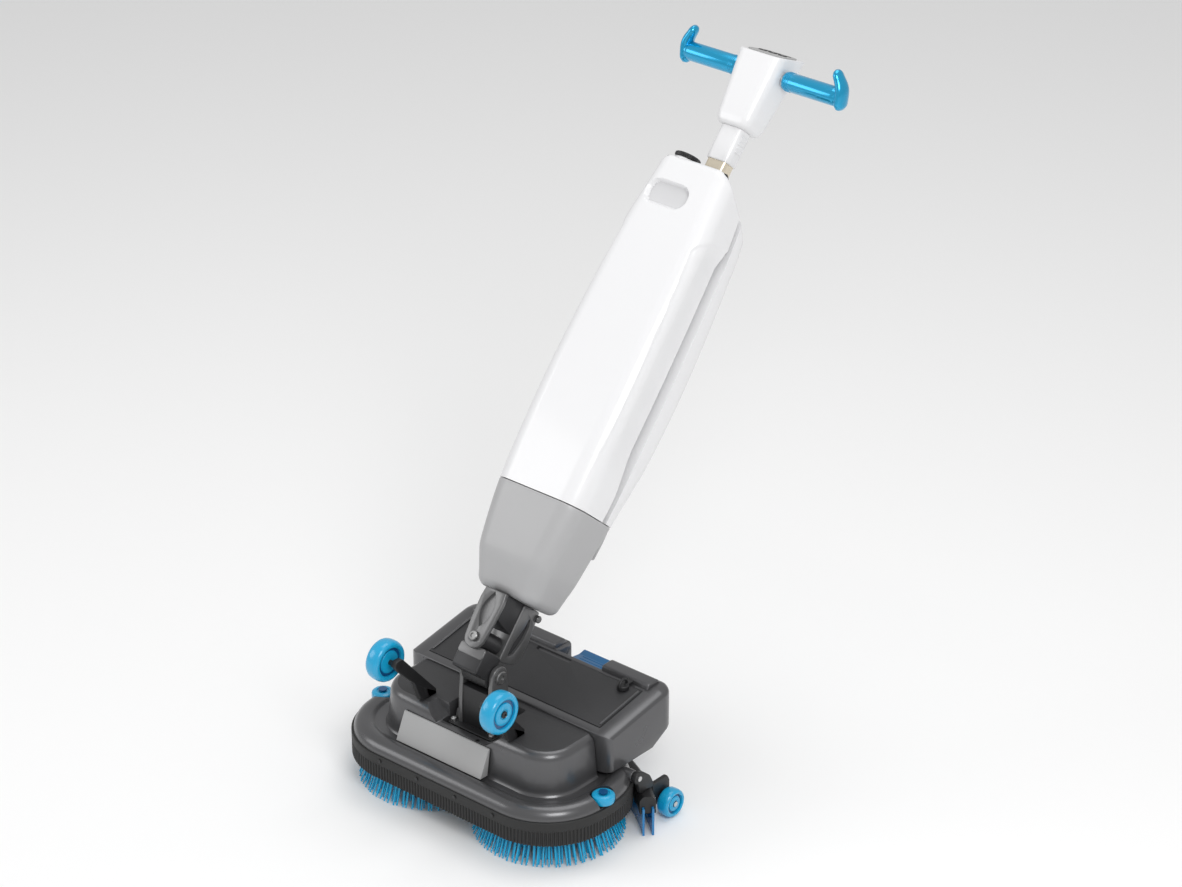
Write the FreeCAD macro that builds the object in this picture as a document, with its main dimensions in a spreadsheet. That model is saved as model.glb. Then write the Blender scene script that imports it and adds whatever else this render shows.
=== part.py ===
"""Twin-disc wet and dry floor scrubber: a parametric FreeCAD document.

Millimetres. +Z up, the operator stands on the +Y side, the transport wheels face -Y.
The deck stands on the floor; the column leans back from a two-axis neck.
"""
import FreeCAD
import Part
import Sketcher

import math
import os

from FreeCAD import Placement, Rotation, Vector

doc = FreeCAD.newDocument("FloorScrubber")
sheet = doc.addObject("Spreadsheet::Sheet", "Sizes")

# Driving dimensions: alias, value, meaning
SIZES = (
    ("deck_y", -264.0, "deck centre, so that the whole machine is centred on the origin"),
    ("wall", 3.5, "wall of the moulded covers"),
    ("gap", 0.6, "clearance between pieces that move"),
    ("run", 0.05, "radial running clearance of pins and axles"),
    ("base_w", 450.0, "deck width over the bead"),
    ("base_d", 232.0, "deck depth over the bead"),
    ("base_corner", 103.0, "plan corner radius of the bead"),
    ("base_low", 70.0, "underside of the deck pan"),
    ("base_top", 98.0, "top of the bead"),
    ("bead_round", 14.0, "rounding of the bead's upper edge"),
    ("skirt_low", 41.0, "bottom of the splash skirt"),
    ("skirt_wall", 4.0, "thickness of the splash skirt"),
    ("cover_w", 350.0, "width of the front cover"),
    ("cover_front", -68.0, "front of the front cover"),
    ("cover_rear", 36.0, "joint between front cover and rear housing"),
    ("cover_top", 158.0, "top of the front cover"),
    ("cover_corner", 46.0, "plan corner radius of the front cover"),
    ("recess_floor", 128.0, "floor of the neck recess"),
    ("recess_w", 96.0, "width of the neck recess"),
    ("house_w", 384.0, "width of the rear housing"),
    ("house_rear", 186.0, "rear of the rear housing"),
    ("house_low", 99.0, "bottom of the rear housing"),
    ("house_top", 184.0, "top of the rear housing at its rear"),
    ("house_step", 161.0, "top of the rear housing where it meets the front cover"),
    ("house_flat", 160.0, "where the rising top of the rear housing turns level"),
    ("house_corner", 26.0, "plan corner radius of the rear housing"),
    ("notch_x", 38.0, "centre of the pedal notch"),
    ("notch_w", 88.0, "width of the pedal notch"),
    ("lid_right", 166.0, "right edge of the battery lid"),
    ("lid_front", 50.0, "hinged edge of the battery lid"),
    ("lid_rear", 144.0, "free edge of the battery lid"),
    ("lid_thick", 4.0, "thickness of the battery lid"),
    ("brush_x", 113.0, "brush centre from the middle"),
    ("brush_r", 112.5, "radius over the bristle tips"),
    ("disc_r", 98.0, "radius of the brush disc"),
    ("disc_low", 46.0, "underside of the brush disc"),
    ("disc_top", 56.0, "top of the brush disc"),
    ("hub_r", 16.0, "radius of the brush hub"),
    ("motor_r", 28.0, "radius of a brush motor"),
    ("motor_top", 140.0, "top of a brush motor"),
    ("shaft_r", 6.0, "radius of a motor shaft"),
    ("wheel_x", 110.0, "transport wheel centre from the middle"),
    ("wheel_y", -102.0, "transport wheel axle"),
    ("wheel_z", 237.0, "height of the transport wheel axle"),
    ("wheel_r", 32.0, "radius of a transport wheel"),
    ("wheel_w", 24.0, "width of a transport wheel"),
    ("axle_r", 4.0, "radius of the small wheel axles"),
    ("roller_x", 216.0, "corner roller centre from the middle"),
    ("roller_r", 17.0, "radius of a corner roller"),
    ("roller_low", 84.0, "underside of a corner roller"),
    ("roller_top", 98.5, "top of a corner roller"),
    ("squeegee_r", 356.0, "plan radius of the squeegee"),
    ("squeegee_y", -191.0, "centre of the squeegee's plan arc"),
    ("squeegee_half", 240.0, "half width of the squeegee"),
    ("blade_h", 46.0, "height of the squeegee blades"),
    ("carrier_low", 34.0, "underside of the squeegee carrier"),
    ("carrier_top", 62.0, "top of the squeegee carrier"),
    ("carrier_w", 24.0, "width of the squeegee carrier"),
    ("caster_x", 228.0, "squeegee wheel centre from the middle"),
    ("caster_y", 136.0, "squeegee wheel axle"),
    ("caster_r", 22.0, "radius of a squeegee wheel"),
    ("caster_w", 20.0, "width of a squeegee wheel"),
    ("lift_y", 72.0, "squeegee hinge, behind the middle"),
    ("lift_z", 90.0, "height of the squeegee hinge"),
    ("lug_x", 213.0, "outer face of a squeegee hinge lug"),
    ("lug_r", 8.5, "radius of a squeegee hinge lug"),
    ("arm_t", 8.0, "thickness of a squeegee arm"),
    ("pitch_y", -13.0, "pitch axis"),
    ("pitch_z", 223.0, "height of the pitch axis"),
    ("ear_x", 24.0, "inner face of a yoke ear"),
    ("ear_t", 8.0, "thickness of a yoke ear"),
    ("eye_r", 16.0, "outer radius of the neck eyes"),
    ("pin_r", 6.0, "radius of the neck pins"),
    ("roll_up", 37.0, "roll axis above the pitch axis, along the column"),
    ("tilt", 40.8, "backward lean of the column, in degrees"),
    ("fork_front", 56.0, "front face of the fork, ahead of the column line"),
    ("fork_rear", 46.0, "rear face of the fork, behind the column line"),
    ("base_foot", 110.0, "bottom of the column base, along the column"),
    ("seam", 261.0, "joint between column base and tanks"),
    ("tank_top", 792.0, "top of the clean water tank"),
    ("body_w", 166.0, "greatest width of the column body"),
    ("tank_split", 5.0, "joint between front and rear tank, behind the column line"),
    ("filler_x", -28.0, "filler neck, from the middle"),
    ("filler_y", -48.0, "filler neck, ahead of the column line"),
    ("tube_fwd", 8.0, "handle tube centre, ahead of the column line"),
    ("tube_w", 36.0, "width of the handle tube"),
    ("tube_d", 28.0, "depth of the handle tube"),
    ("tube_corner", 8.0, "corner radius of the handle tube"),
    ("tube_low", 590.0, "lower end of the handle tube"),
    ("sleeve_low", 812.0, "lower end of the tube sleeve"),
    ("head_low", 866.0, "bottom of the handle head"),
    ("head_top", 990.0, "top of the handle head"),
    ("bar_up", 958.0, "handle bar, along the column"),
    ("bar_half", 139.0, "half length over the grips"),
    ("grip_r", 14.5, "radius of a grip"),
    ("bar_r", 10.0, "radius of the handle bar"),
    ("bar_reach", 120.0, "half length of the handle bar"),
)


class Dim:
    """A size that carries its number and the spreadsheet expression that gives it."""

    def __init__(self, value, text):
        self.value = float(value)
        self.text = text

    def _with(self, other, sign, value):
        return Dim(value, "(%s %s %s)" % (self.text, sign, words(other)))

    def __add__(self, other):
        return self._with(other, "+", self.value + number(other))

    def __sub__(self, other):
        return self._with(other, "-", self.value - number(other))

    def __mul__(self, other):
        return self._with(other, "*", self.value * number(other))

    def __truediv__(self, other):
        return self._with(other, "/", self.value / number(other))

    def __radd__(self, other):
        return self + other

    def __rmul__(self, other):
        return self * other

    def __rsub__(self, other):
        return Dim(number(other) - self.value, "(%s - %s)" % (words(other), self.text))

    def __neg__(self):
        return Dim(-self.value, "(0 - %s)" % self.text)


def number(size):
    """The plain number of a size or of a number."""
    return size.value if isinstance(size, Dim) else float(size)


def words(size):
    """The expression text of a size or of a number."""
    return size.text if isinstance(size, Dim) else "(%.6f)" % float(size)


class Sizes:
    """The spreadsheet's sizes as attributes."""


d = Sizes()
for row, (alias, value, meaning) in enumerate(SIZES, start=1):
    sheet.set("A%d" % row, alias)
    sheet.set("B%d" % row, "%g" % value)
    sheet.set("C%d" % row, meaning)
    sheet.setAlias("B%d" % row, alias)
    setattr(d, alias, Dim(value, "Sizes." + alias))
doc.recompute()


def bind(thing, name, size):
    """Set a property, from the sheet where the size is a Dim."""
    setattr(thing, name, number(size))
    if isinstance(size, Dim):
        thing.setExpression(name, size.text)


# ---------------------------------------------------------------- frames

def deck_frame(thing):
    """Place a piece that is drawn in the deck's own frame."""
    thing.Placement = Placement(Vector(0, d.deck_y.value, 0), Rotation())
    thing.setExpression("Placement.Base.y", d.deck_y.text)


def column_frame(thing):
    """Place a piece that is drawn upright on the pitch axis and leans back with the column."""
    base = Vector(0, (d.deck_y + d.pitch_y).value, d.pitch_z.value)
    thing.Placement = Placement(base, Rotation(Vector(1, 0, 0), -d.tilt.value))
    thing.setExpression("Placement.Base.y", (d.deck_y + d.pitch_y).text)
    thing.setExpression("Placement.Base.z", d.pitch_z.text)
    thing.setExpression("Placement.Rotation.Angle", "(0 - %s) * 1 deg" % d.tilt.text)


NODES = []


def new_body(name, frame):
    body = doc.addObject("PartDesign::Body", name)
    body.Label = name
    frame(body)
    NODES.append(body)
    return body


def keep(thing, name, frame):
    """Register a Part object as a node."""
    thing.Label = name
    frame(thing)
    NODES.append(thing)
    return thing


# ---------------------------------------------------------------- sketches

class Drawing:
    """A sketch on one of its body's origin planes, with every size held by a constraint."""

    def __init__(self, body, plane, offset=0.0):
        self.sketch = body.newObject("Sketcher::SketchObject", "Sketch")
        for feature in body.Origin.OriginFeatures:
            if feature.Role == plane:
                self.sketch.AttachmentSupport = [(feature, "")]
        self.sketch.MapMode = "FlatFace"
        self.sketch.AttachmentOffset = Placement(Vector(0, 0, number(offset)), Rotation())
        if isinstance(offset, Dim):
            self.sketch.setExpression("AttachmentOffset.Base.z", offset.text)

    def hold(self, kind, *where, size):
        index = self.sketch.addConstraint(Sketcher.Constraint(kind, *where, number(size)))
        if isinstance(size, Dim):
            self.sketch.setExpression("Constraints[%d]" % index, size.text)

    def pin_point(self, geo, end, x, y):
        self.hold("DistanceX", -1, 1, geo, end, size=x)
        self.hold("DistanceY", -1, 1, geo, end, size=y)

    def circle(self, x, y, r):
        centre = Vector(number(x), number(y), 0)
        geo = self.sketch.addGeometry(Part.Circle(centre, Vector(0, 0, 1), number(r)))
        self.pin_point(geo, 3, x, y)
        self.hold("Radius", geo, size=r)
        return self

    def outline(self, points):
        """A closed polygon."""
        first = None
        count = len(points)
        for i, (x, y) in enumerate(points):
            nx, ny = points[(i + 1) % count]
            start = Vector(number(x), number(y), 0)
            end = Vector(number(nx), number(ny), 0)
            geo = self.sketch.addGeometry(Part.LineSegment(start, end))
            first = geo if first is None else first
            if i:
                self.sketch.addConstraint(Sketcher.Constraint("Coincident", geo - 1, 2, geo, 1))
            self.pin_point(geo, 1, x, y)
        self.sketch.addConstraint(Sketcher.Constraint("Coincident", first + count - 1, 2, first, 1))
        return self

    def rectangle(self, x0, y0, x1, y1):
        return self.outline([(x0, y0), (x1, y0), (x1, y1), (x0, y1)])

    def rounded(self, x0, y0, x1, y1, r):
        """A rectangle with round corners."""
        low_x, low_y, high_x, high_y, rad = (number(v) for v in (x0, y0, x1, y1, r))
        corners = (
            (high_x - rad, low_y + rad, -90),
            (high_x - rad, high_y - rad, 0),
            (low_x + rad, high_y - rad, 90),
            (low_x + rad, low_y + rad, 180),
        )
        arcs = []
        for cx, cy, start in corners:
            ring = Part.Circle(Vector(cx, cy, 0), Vector(0, 0, 1), rad)
            arc = Part.ArcOfCircle(ring, math.radians(start), math.radians(start + 90))
            arcs.append(self.sketch.addGeometry(arc))
        lines = []
        for i, arc in enumerate(arcs):
            start = self.sketch.Geometry[arcs[i - 1]].EndPoint
            end = self.sketch.Geometry[arc].StartPoint
            line = self.sketch.addGeometry(Part.LineSegment(start, end))
            self.sketch.addConstraint(Sketcher.Constraint("Tangent", arcs[i - 1], 2, line, 1))
            self.sketch.addConstraint(Sketcher.Constraint("Tangent", line, 2, arc, 1))
            lines.append(line)
        bottom, right, top, left = lines
        for line in (bottom, top):
            self.sketch.addConstraint(Sketcher.Constraint("Horizontal", line))
        for line in (right, left):
            self.sketch.addConstraint(Sketcher.Constraint("Vertical", line))
        self.hold("DistanceY", -1, 1, bottom, 1, size=y0)
        self.hold("DistanceX", -1, 1, right, 1, size=x1)
        self.hold("DistanceY", -1, 1, top, 1, size=y1)
        self.hold("DistanceX", -1, 1, left, 1, size=x0)
        for arc in arcs[1:]:
            self.sketch.addConstraint(Sketcher.Constraint("Equal", arcs[0], arc))
        self.hold("Radius", arcs[0], size=r)
        return self


def flat(body, height=0.0):
    """A drawing seen from above, at a height."""
    return Drawing(body, "XY_Plane", height)


def side(body, x=0.0):
    """A drawing in the Y-Z plane, at a distance along X."""
    return Drawing(body, "YZ_Plane", x)


def front(body, y=0.0):
    """A drawing in the X-Z plane, at a distance along Y."""
    return Drawing(body, "XZ_Plane", -y)


# ---------------------------------------------------------------- features

def solid_volume(body):
    doc.recompute()
    return body.Shape.Volume


def extrude(body, drawing, length, kind="PartDesign::Pad", back=False, both=False, taper=0.0):
    feature = body.newObject(kind, "Feature")
    feature.Profile = drawing.sketch
    bind(feature, "Length", length)
    feature.Reversed = back
    feature.Midplane = both
    if taper:
        feature.TaperAngle = taper
    return feature


def cut(body, drawing, length, back=False, both=False):
    """A pocket, checked for having taken something away."""
    before = solid_volume(body)
    feature = extrude(body, drawing, length, "PartDesign::Pocket", back, both)
    if solid_volume(body) > before - 0.5:
        raise ValueError("a pocket in %s cuts nothing" % body.Label)
    return feature


def loft(body, sections, kind="PartDesign::AdditiveLoft"):
    """A smooth loft through round-cornered rectangles: height, x0, y0, x1, y1, corner radius."""
    sketches = [flat(body, row[0]).rounded(*row[1:]).sketch for row in sections]
    feature = body.newObject(kind, "Loft")
    feature.Profile = sketches[0]
    feature.Sections = sketches[1:]
    feature.Ruled = len(sketches) == 2
    return feature


def soften(body, radius, wanted, kind="PartDesign::Fillet"):
    """Fillet or chamfer the edges that a test picks by their middle point and length."""
    doc.recompute()
    tip = body.Tip
    names = []
    for i, edge in enumerate(tip.Shape.Edges, start=1):
        middle = edge.valueAt(edge.getParameterByLength(edge.Length / 2))
        if wanted(middle, edge):
            names.append("Edge%d" % i)
    if not names:
        raise ValueError("no edge to soften on %s" % body.Label)
    feature = body.newObject(kind, "Softened")
    feature.Base = (tip, names)
    bind(feature, "Radius" if kind.endswith("Fillet") else "Size", radius)
    return feature


def near(value, target, slack=0.5):
    return abs(value - number(target)) < slack


def cylinder(name, radius, height, where, direction=(0, 0, 1)):
    """A Part cylinder from a point along a direction, not yet placed in a frame."""
    rod = doc.addObject("Part::Cylinder", name)
    bind(rod, "Radius", radius)
    bind(rod, "Height", height)
    turned = Rotation(Vector(0, 0, 1), Vector(*direction))
    rod.Placement = Placement(Vector(*(number(v) for v in where)), turned)
    for axis, size in zip("xyz", where):
        if isinstance(size, Dim):
            rod.setExpression("Placement.Base." + axis, size.text)
    return rod


def group(name, pieces, frame):
    """Several separate solids that share one node."""
    joined = doc.addObject("Part::Compound", name)
    joined.Links = pieces
    return keep(joined, name, frame)


SIDES = (("left", -1), ("right", 1))


# ---------------------------------------------------------------- deck

def make_deck_base():
    """The pan that carries everything: a bead round the edge, hollow underneath."""
    body = new_body("deck_base", deck_frame)
    half_w = d.base_w / 2
    half_d = d.base_d / 2
    plan = flat(body, d.base_low).rounded(-half_w, -half_d, half_w, half_d, d.base_corner)
    extrude(body, plan, d.base_top - d.base_low)
    soften(body, d.bead_round, lambda p, e: near(p.z, d.base_top))
    rim = 7.0
    inner = flat(body, d.base_low).rounded(
        rim - half_w, rim - half_d, half_w - rim, half_d - rim, d.base_corner - rim)
    cut(body, inner, d.base_top - d.base_low - 5.0, back=True)
    for _, sign in SIDES:
        x = sign * d.brush_x
        boss = flat(body, d.base_top - 5.0).circle(x, 0.0, 26.0)
        extrude(body, boss, 17.0, back=True)
        bore = flat(body, d.base_top).circle(x, 0.0, 16.0)
        cut(body, bore, 60.0, both=True)
        pocket = flat(body, d.roller_low - 2.0).circle(sign * d.roller_x, 0.0, d.roller_r + 2.5)
        cut(body, pocket, 30.0, back=True)
        shelf = flat(body, d.roller_low - 2.0).circle(sign * (d.roller_x - 6.0), 0.0, 12.0)
        extrude(body, shelf, 5.0, back=True)
        middle = sign * (d.lug_x - 10.0)
        lug = side(body, middle).circle(d.lift_y, d.lift_z, d.lug_r)
        extrude(body, lug, 20.0, both=True)
        bore = side(body, middle).circle(d.lift_y, d.lift_z, d.axle_r + d.run)
        cut(body, bore, 20.0, both=True)
    return body


def make_splash_skirt():
    """The rubber skirt that hangs from the bead round the brushes."""
    body = new_body("splash_skirt", deck_frame)
    out = 3.0
    half_w = d.base_w / 2 + out
    half_d = d.base_d / 2 + out
    corner = d.base_corner + out
    outer = flat(body, d.skirt_low).rounded(-half_w, -half_d, half_w, half_d, corner)
    extrude(body, outer, d.base_low + 11.0 - d.skirt_low)
    t = d.skirt_wall - out
    half_w = d.base_w / 2 - t
    half_d = d.base_d / 2 - t
    inner = flat(body, d.skirt_low).rounded(-half_w, -half_d, half_w, half_d, d.base_corner - t)
    cut(body, inner, d.base_low - d.skirt_low, back=True)
    seat = flat(body, d.base_low).rounded(
        -d.base_w / 2, -d.base_d / 2, d.base_w / 2, d.base_d / 2, d.base_corner)
    cut(body, seat, 20.0, back=True)
    return body


def make_skirt_screws():
    """Small pan-head screws that hold the skirt to the pan."""
    y = d.base_d / 2 + 3.0
    screws = []
    for x in (-110.0, -37.0, 37.0, 110.0):
        for sign in (-1, 1):
            start = (x, sign * y, 74.0)
            screws.append(cylinder("screw", 3.0, 1.6, start, (0, sign, 0)))
    return group("skirt_screws", screws, deck_frame)


def make_deck_cover():
    """The rounded front cover over the brush motors, with the recess for the neck."""
    body = new_body("deck_cover", deck_frame)
    half = d.cover_w / 2
    height = d.cover_top - d.base_top
    plan = flat(body, d.base_top).rounded(
        -half, d.cover_front, half, d.cover_rear, d.cover_corner)
    extrude(body, plan, height, taper=-7.0)
    soften(body, 10.0, lambda p, e: near(p.z, d.cover_top))
    w = d.wall
    inner = flat(body, d.base_top).rounded(
        w - half, d.cover_front + w, half - w, d.cover_rear - w, d.cover_corner - w)
    hollow = extrude(body, inner, height - w, "PartDesign::Pocket", back=True)
    hollow.TaperAngle = -7.0
    tub = flat(body, d.base_top + 8.0).rounded(
        -d.recess_w / 2 - 4.0, d.cover_front + 12.0, d.recess_w / 2 + 4.0, 26.0, 6.0)
    extrude(body, tub, d.recess_floor - d.base_top + 12.0)
    hole = flat(body, d.recess_floor).rounded(
        -d.recess_w / 2, d.cover_front + 16.0, d.recess_w / 2, 22.0, 5.0)
    cut(body, hole, 60.0, back=True)
    mouth = front(body, d.cover_front - 5.0).outline([
        (-d.recess_w / 2, d.recess_floor + 10.0), (d.recess_w / 2, d.recess_floor + 10.0),
        (d.recess_w / 2 + 26.0, d.cover_top + 5.0), (-d.recess_w / 2 - 26.0, d.cover_top + 5.0)])
    cut(body, mouth, 40.0)
    return body


def house_height(y):
    """Height of the rear housing's rising top at a distance behind the middle."""
    rise = (d.house_top - d.house_step) / (d.house_flat - d.cover_rear)
    return d.house_step + rise * (y - d.cover_rear)


def sloping_slab(body, margin, under, over):
    """The side outline of a slab along the rising top, between two heights off it."""
    front_y = d.lid_front - margin
    rear_y = d.lid_rear + margin
    return side(body).outline([
        (front_y, house_height(front_y) + under), (rear_y, house_height(rear_y) + under),
        (rear_y, house_height(rear_y) + over), (front_y, house_height(front_y) + over)])


def make_rear_housing():
    """The battery housing behind the neck, open on top under the lid."""
    body = new_body("rear_housing", deck_frame)
    half = d.house_w / 2
    low_front = d.cover_rear + 0.2
    plan = flat(body, d.house_low).rounded(-half, low_front, half, d.house_rear, d.house_corner)
    extrude(body, plan, d.house_top - d.house_low)
    wedge = side(body).outline([
        (low_front - 1.0, house_height(low_front - 1.0)), (d.house_flat, d.house_top),
        (d.house_flat, d.house_top + 9.0), (low_front - 1.0, d.house_top + 9.0)])
    cut(body, wedge, d.house_w + 2.0, both=True)
    soften(body, 9.0, lambda p, e: p.z > d.house_step.value and abs(p.x) > 170.0 and p.y > 40.0)
    keel = side(body).outline([
        (d.house_rear - 46.0, d.house_low - 1.0), (d.house_rear + 1.0, d.house_low - 1.0),
        (d.house_rear + 1.0, d.house_low + 26.0)])
    cut(body, keel, d.house_w + 2.0, both=True)
    w = d.wall
    room = flat(body, d.house_low + w).rounded(
        -d.lid_right + 8.0, d.lid_front + 6.0, d.lid_right - 8.0, d.lid_rear - 6.0, 8.0)
    cut(body, room, 100.0, back=True)
    cut(body, sloping_slab(body, 0.5, -d.lid_thick, 9.0), 2 * d.lid_right + 1.0, both=True)
    notch = flat(body, d.house_top - 50.0).rectangle(
        d.notch_x - d.notch_w / 2, d.lid_rear + 8.0, d.notch_x + d.notch_w / 2, d.house_rear + 5.0)
    cut(body, notch, 60.0, back=True)
    slot = side(body, d.notch_x).circle(d.lid_rear + 16.0, d.house_top - 30.0, 3.0 + d.run)
    cut(body, slot, d.notch_w + 16.0, both=True)
    return body


def make_battery_lid():
    """The rising lid over the battery, hinged along its front edge."""
    body = new_body("battery_lid", deck_frame)
    extrude(body, sloping_slab(body, 0.0, 0.2 - d.lid_thick, 0.2), 2 * d.lid_right, both=True)
    for sign in (-1, 1):
        strip = side(body, sign * (d.lid_right - 3.0)).outline([
            (d.lid_front + 4.0, house_height(d.lid_front + 4.0) - 1.0),
            (d.lid_rear - 4.0, house_height(d.lid_rear - 4.0) - 1.0),
            (d.lid_rear - 4.0, house_height(d.lid_rear - 4.0) + 2.8),
            (d.lid_front + 4.0, house_height(d.lid_front + 4.0) + 2.8)])
        extrude(body, strip, 4.0, both=True)
    return body


def make_battery_pack():
    """The rechargeable pack with its finger grip."""
    body = new_body("battery_pack", deck_frame)
    low = d.house_low + d.wall
    plan = flat(body, low).rounded(-150.0, d.lid_front + 9.0, 150.0, d.lid_rear - 9.0, 6.0)
    extrude(body, plan, 50.0)
    grip = flat(body, low + 38.0).rounded(-40.0, 80.0, 40.0, 112.0, 5.0)
    cut(body, grip, 20.0, back=True)
    return body


def make_lid_latch():
    """The turning latch that holds the battery lid shut."""
    body = new_body("lid_latch", deck_frame)
    x = 140.0
    y = d.lid_rear - 12.0
    low = house_height(y) + 2.2
    extrude(body, flat(body, low).circle(x, y, 9.0), 7.0)
    tongue = flat(body, low + 3.0).rounded(x - 5.0, y, x + 5.0, y + 24.0, 2.0)
    extrude(body, tongue, 4.0)
    thumb = flat(body, low + 7.0).rounded(x - 3.0, y - 9.0, x + 3.0, y + 9.0, 2.5)
    extrude(body, thumb, 9.0)
    return body


def make_label_plate():
    """The plain sloping plate on the front cover."""
    body = new_body("label_plate", deck_frame)
    drop = d.recess_floor + 9.0
    profile = side(body, -25.0).outline([
        (d.cover_front - 14.0, d.base_top), (d.cover_front - 0.4, d.base_top),
        (d.cover_front + 4.4, drop), (d.cover_front + 1.0, drop)])
    extrude(body, profile, 166.0, both=True)
    return body


def make_motor(name, sign):
    """A brush motor: can and flange."""
    body = new_body(name, deck_frame)
    x = sign * d.brush_x
    low = d.base_top + 0.1
    extrude(body, flat(body, low).circle(x, 0.0, d.motor_r - 3.0), d.motor_top - low)
    extrude(body, flat(body, low).circle(x, 0.0, d.motor_r - 1.0), 6.0)
    soften(body, 3.0, lambda p, e: near(p.z, d.motor_top))
    return body


def make_spindle_bearings():
    """The ball bearings of the two brush spindles, in the pan's bosses."""
    body = doc.addObject("Part::Feature", "bearing_rings")
    rings = []
    low = d.base_top.value - 20.0
    for _, sign in SIDES:
        centre = Vector(sign * d.brush_x.value, 0, low)
        outer = Part.makeCylinder(15.9, 9.0, centre)
        rings.append(outer.cut(Part.makeCylinder(d.shaft_r.value + d.run.value, 9.0, centre)))
    body.Shape = Part.makeCompound(rings)
    return keep(body, "spindle_bearings", deck_frame)


def make_brush_disc(name, sign):
    """The black disc that carries the bristles, with its hub and drive spindle."""
    body = new_body(name, deck_frame)
    x = sign * d.brush_x
    extrude(body, flat(body, d.disc_low).circle(x, 0.0, d.disc_r), d.disc_top - d.disc_low)
    soften(body, 2.5, lambda p, e: near(p.z, d.disc_top))
    extrude(body, flat(body, d.disc_top).circle(x, 0.0, d.hub_r), 9.0)
    extrude(body, flat(body, d.disc_top).circle(x, 0.0, d.shaft_r), d.base_top - d.disc_top - 1.0)
    cut(body, flat(body, d.disc_low).circle(x, 0.0, 11.0), 5.0, back=True)
    return body


def make_bristles(name, sign):
    """The flared ring of bristles under a disc."""
    body = doc.addObject("Part::Cut", name)
    where = (sign * d.brush_x, 0.0, 0.0)
    outer = doc.addObject("Part::Cone", "bristle_flare")
    bind(outer, "Radius1", d.brush_r)
    bind(outer, "Radius2", d.disc_r - 2.0)
    bind(outer, "Height", d.disc_low - 0.05)
    outer.Placement = Placement(Vector(where[0].value, 0, 0), Rotation())
    outer.setExpression("Placement.Base.x", where[0].text)
    body.Base = outer
    body.Tool = cylinder("bristle_eye", 34.0, d.disc_low, where)
    return keep(body, name, deck_frame)


# ---------------------------------------------------------------- wheels

def make_wheel_arm(name, sign):
    """A flat arm from the front cover up to a transport wheel."""
    body = new_body(name, deck_frame)
    inner = d.wheel_x - d.wheel_w / 2 - 12.0
    profile = side(body, sign * inner).outline([
        (d.wheel_y - 9.0, d.wheel_z + 2.0), (d.wheel_y - 4.0, d.wheel_z + 9.0),
        (d.wheel_y + 7.0, d.wheel_z + 8.0), (d.wheel_y + 44.0, d.wheel_z - 34.0),
        (d.wheel_y + 76.0, d.cover_top + 8.0), (d.wheel_y + 76.0, d.cover_top + 0.1),
        (d.wheel_y + 44.0, d.cover_top + 0.1), (d.wheel_y + 30.0, d.wheel_z - 42.0),
        (d.wheel_y - 2.0, d.wheel_z - 9.0)])
    extrude(body, profile, 10.0, both=True)
    bore = side(body, sign * inner).circle(d.wheel_y, d.wheel_z, d.axle_r)
    cut(body, bore, 20.0, both=True)
    return body


def make_wheel_axles():
    """The shoulder bolts of the two transport wheels."""
    bolts = []
    for _, sign in SIDES:
        start = d.wheel_x - d.wheel_w / 2 - 17.0
        where = (sign * start, d.wheel_y, d.wheel_z)
        rod = cylinder("axle", d.axle_r, d.wheel_w + 16.0, where, (sign, 0, 0))
        tip = d.wheel_x + d.wheel_w / 2 - 2.0
        head = cylinder("head", 7.0, 2.5, (sign * tip, d.wheel_y, d.wheel_z), (sign, 0, 0))
        bolt = doc.addObject("Part::Fuse", "bolt")
        bolt.Base = rod
        bolt.Tool = head
        bolts.append(bolt)
    return group("wheel_axles", bolts, deck_frame)


def make_wheel(name, x, y, z, radius, width, face_ring, rounding, sign, recess):
    """A moulded wheel on an X axle: tyre rounding, a ring groove and a recessed hub."""
    body = new_body(name, deck_frame)
    extrude(body, side(body, x).circle(y, z, radius), width, both=True)
    soften(body, rounding, lambda p, e: e.Length > 3.0 * number(radius))
    face = x + sign * (width / 2)
    groove = side(body, face).circle(y, z, face_ring).circle(y, z, face_ring - 3.0)
    cut(body, groove, 4.0, both=True)
    if recess:
        cut(body, side(body, face).circle(y, z, 8.0), 5.0, both=True)
    cut(body, side(body, x).circle(y, z, d.axle_r + d.run), width + 4.0, both=True)
    return body


def make_roller_pins():
    """The upright pins of the corner rollers, with their button heads."""
    pins = []
    for _, sign in SIDES:
        x = sign * d.roller_x
        low = d.roller_low - 2.0
        rod = cylinder("pin", d.axle_r, d.roller_top + 1.2 - low, (x, 0.0, low))
        head = cylinder("head", 6.5, 2.0, (x, 0.0, d.roller_top + 0.7))
        pin = doc.addObject("Part::Fuse", "roller_pin")
        pin.Base = rod
        pin.Tool = head
        pins.append(pin)
    return group("roller_pins", pins, deck_frame)


def make_corner_roller(name, sign):
    """A guard roller at the widest point of the deck, turning on an upright pin."""
    body = new_body(name, deck_frame)
    x = sign * d.roller_x
    height = d.roller_top - d.roller_low
    extrude(body, flat(body, d.roller_low).circle(x, 0.0, d.roller_r), height)
    soften(body, 3.0, lambda p, e: e.Length > 100.0)
    cut(body, flat(body, d.roller_low).circle(x, 0.0, d.axle_r + d.run), 40.0, both=True)
    return body


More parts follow.
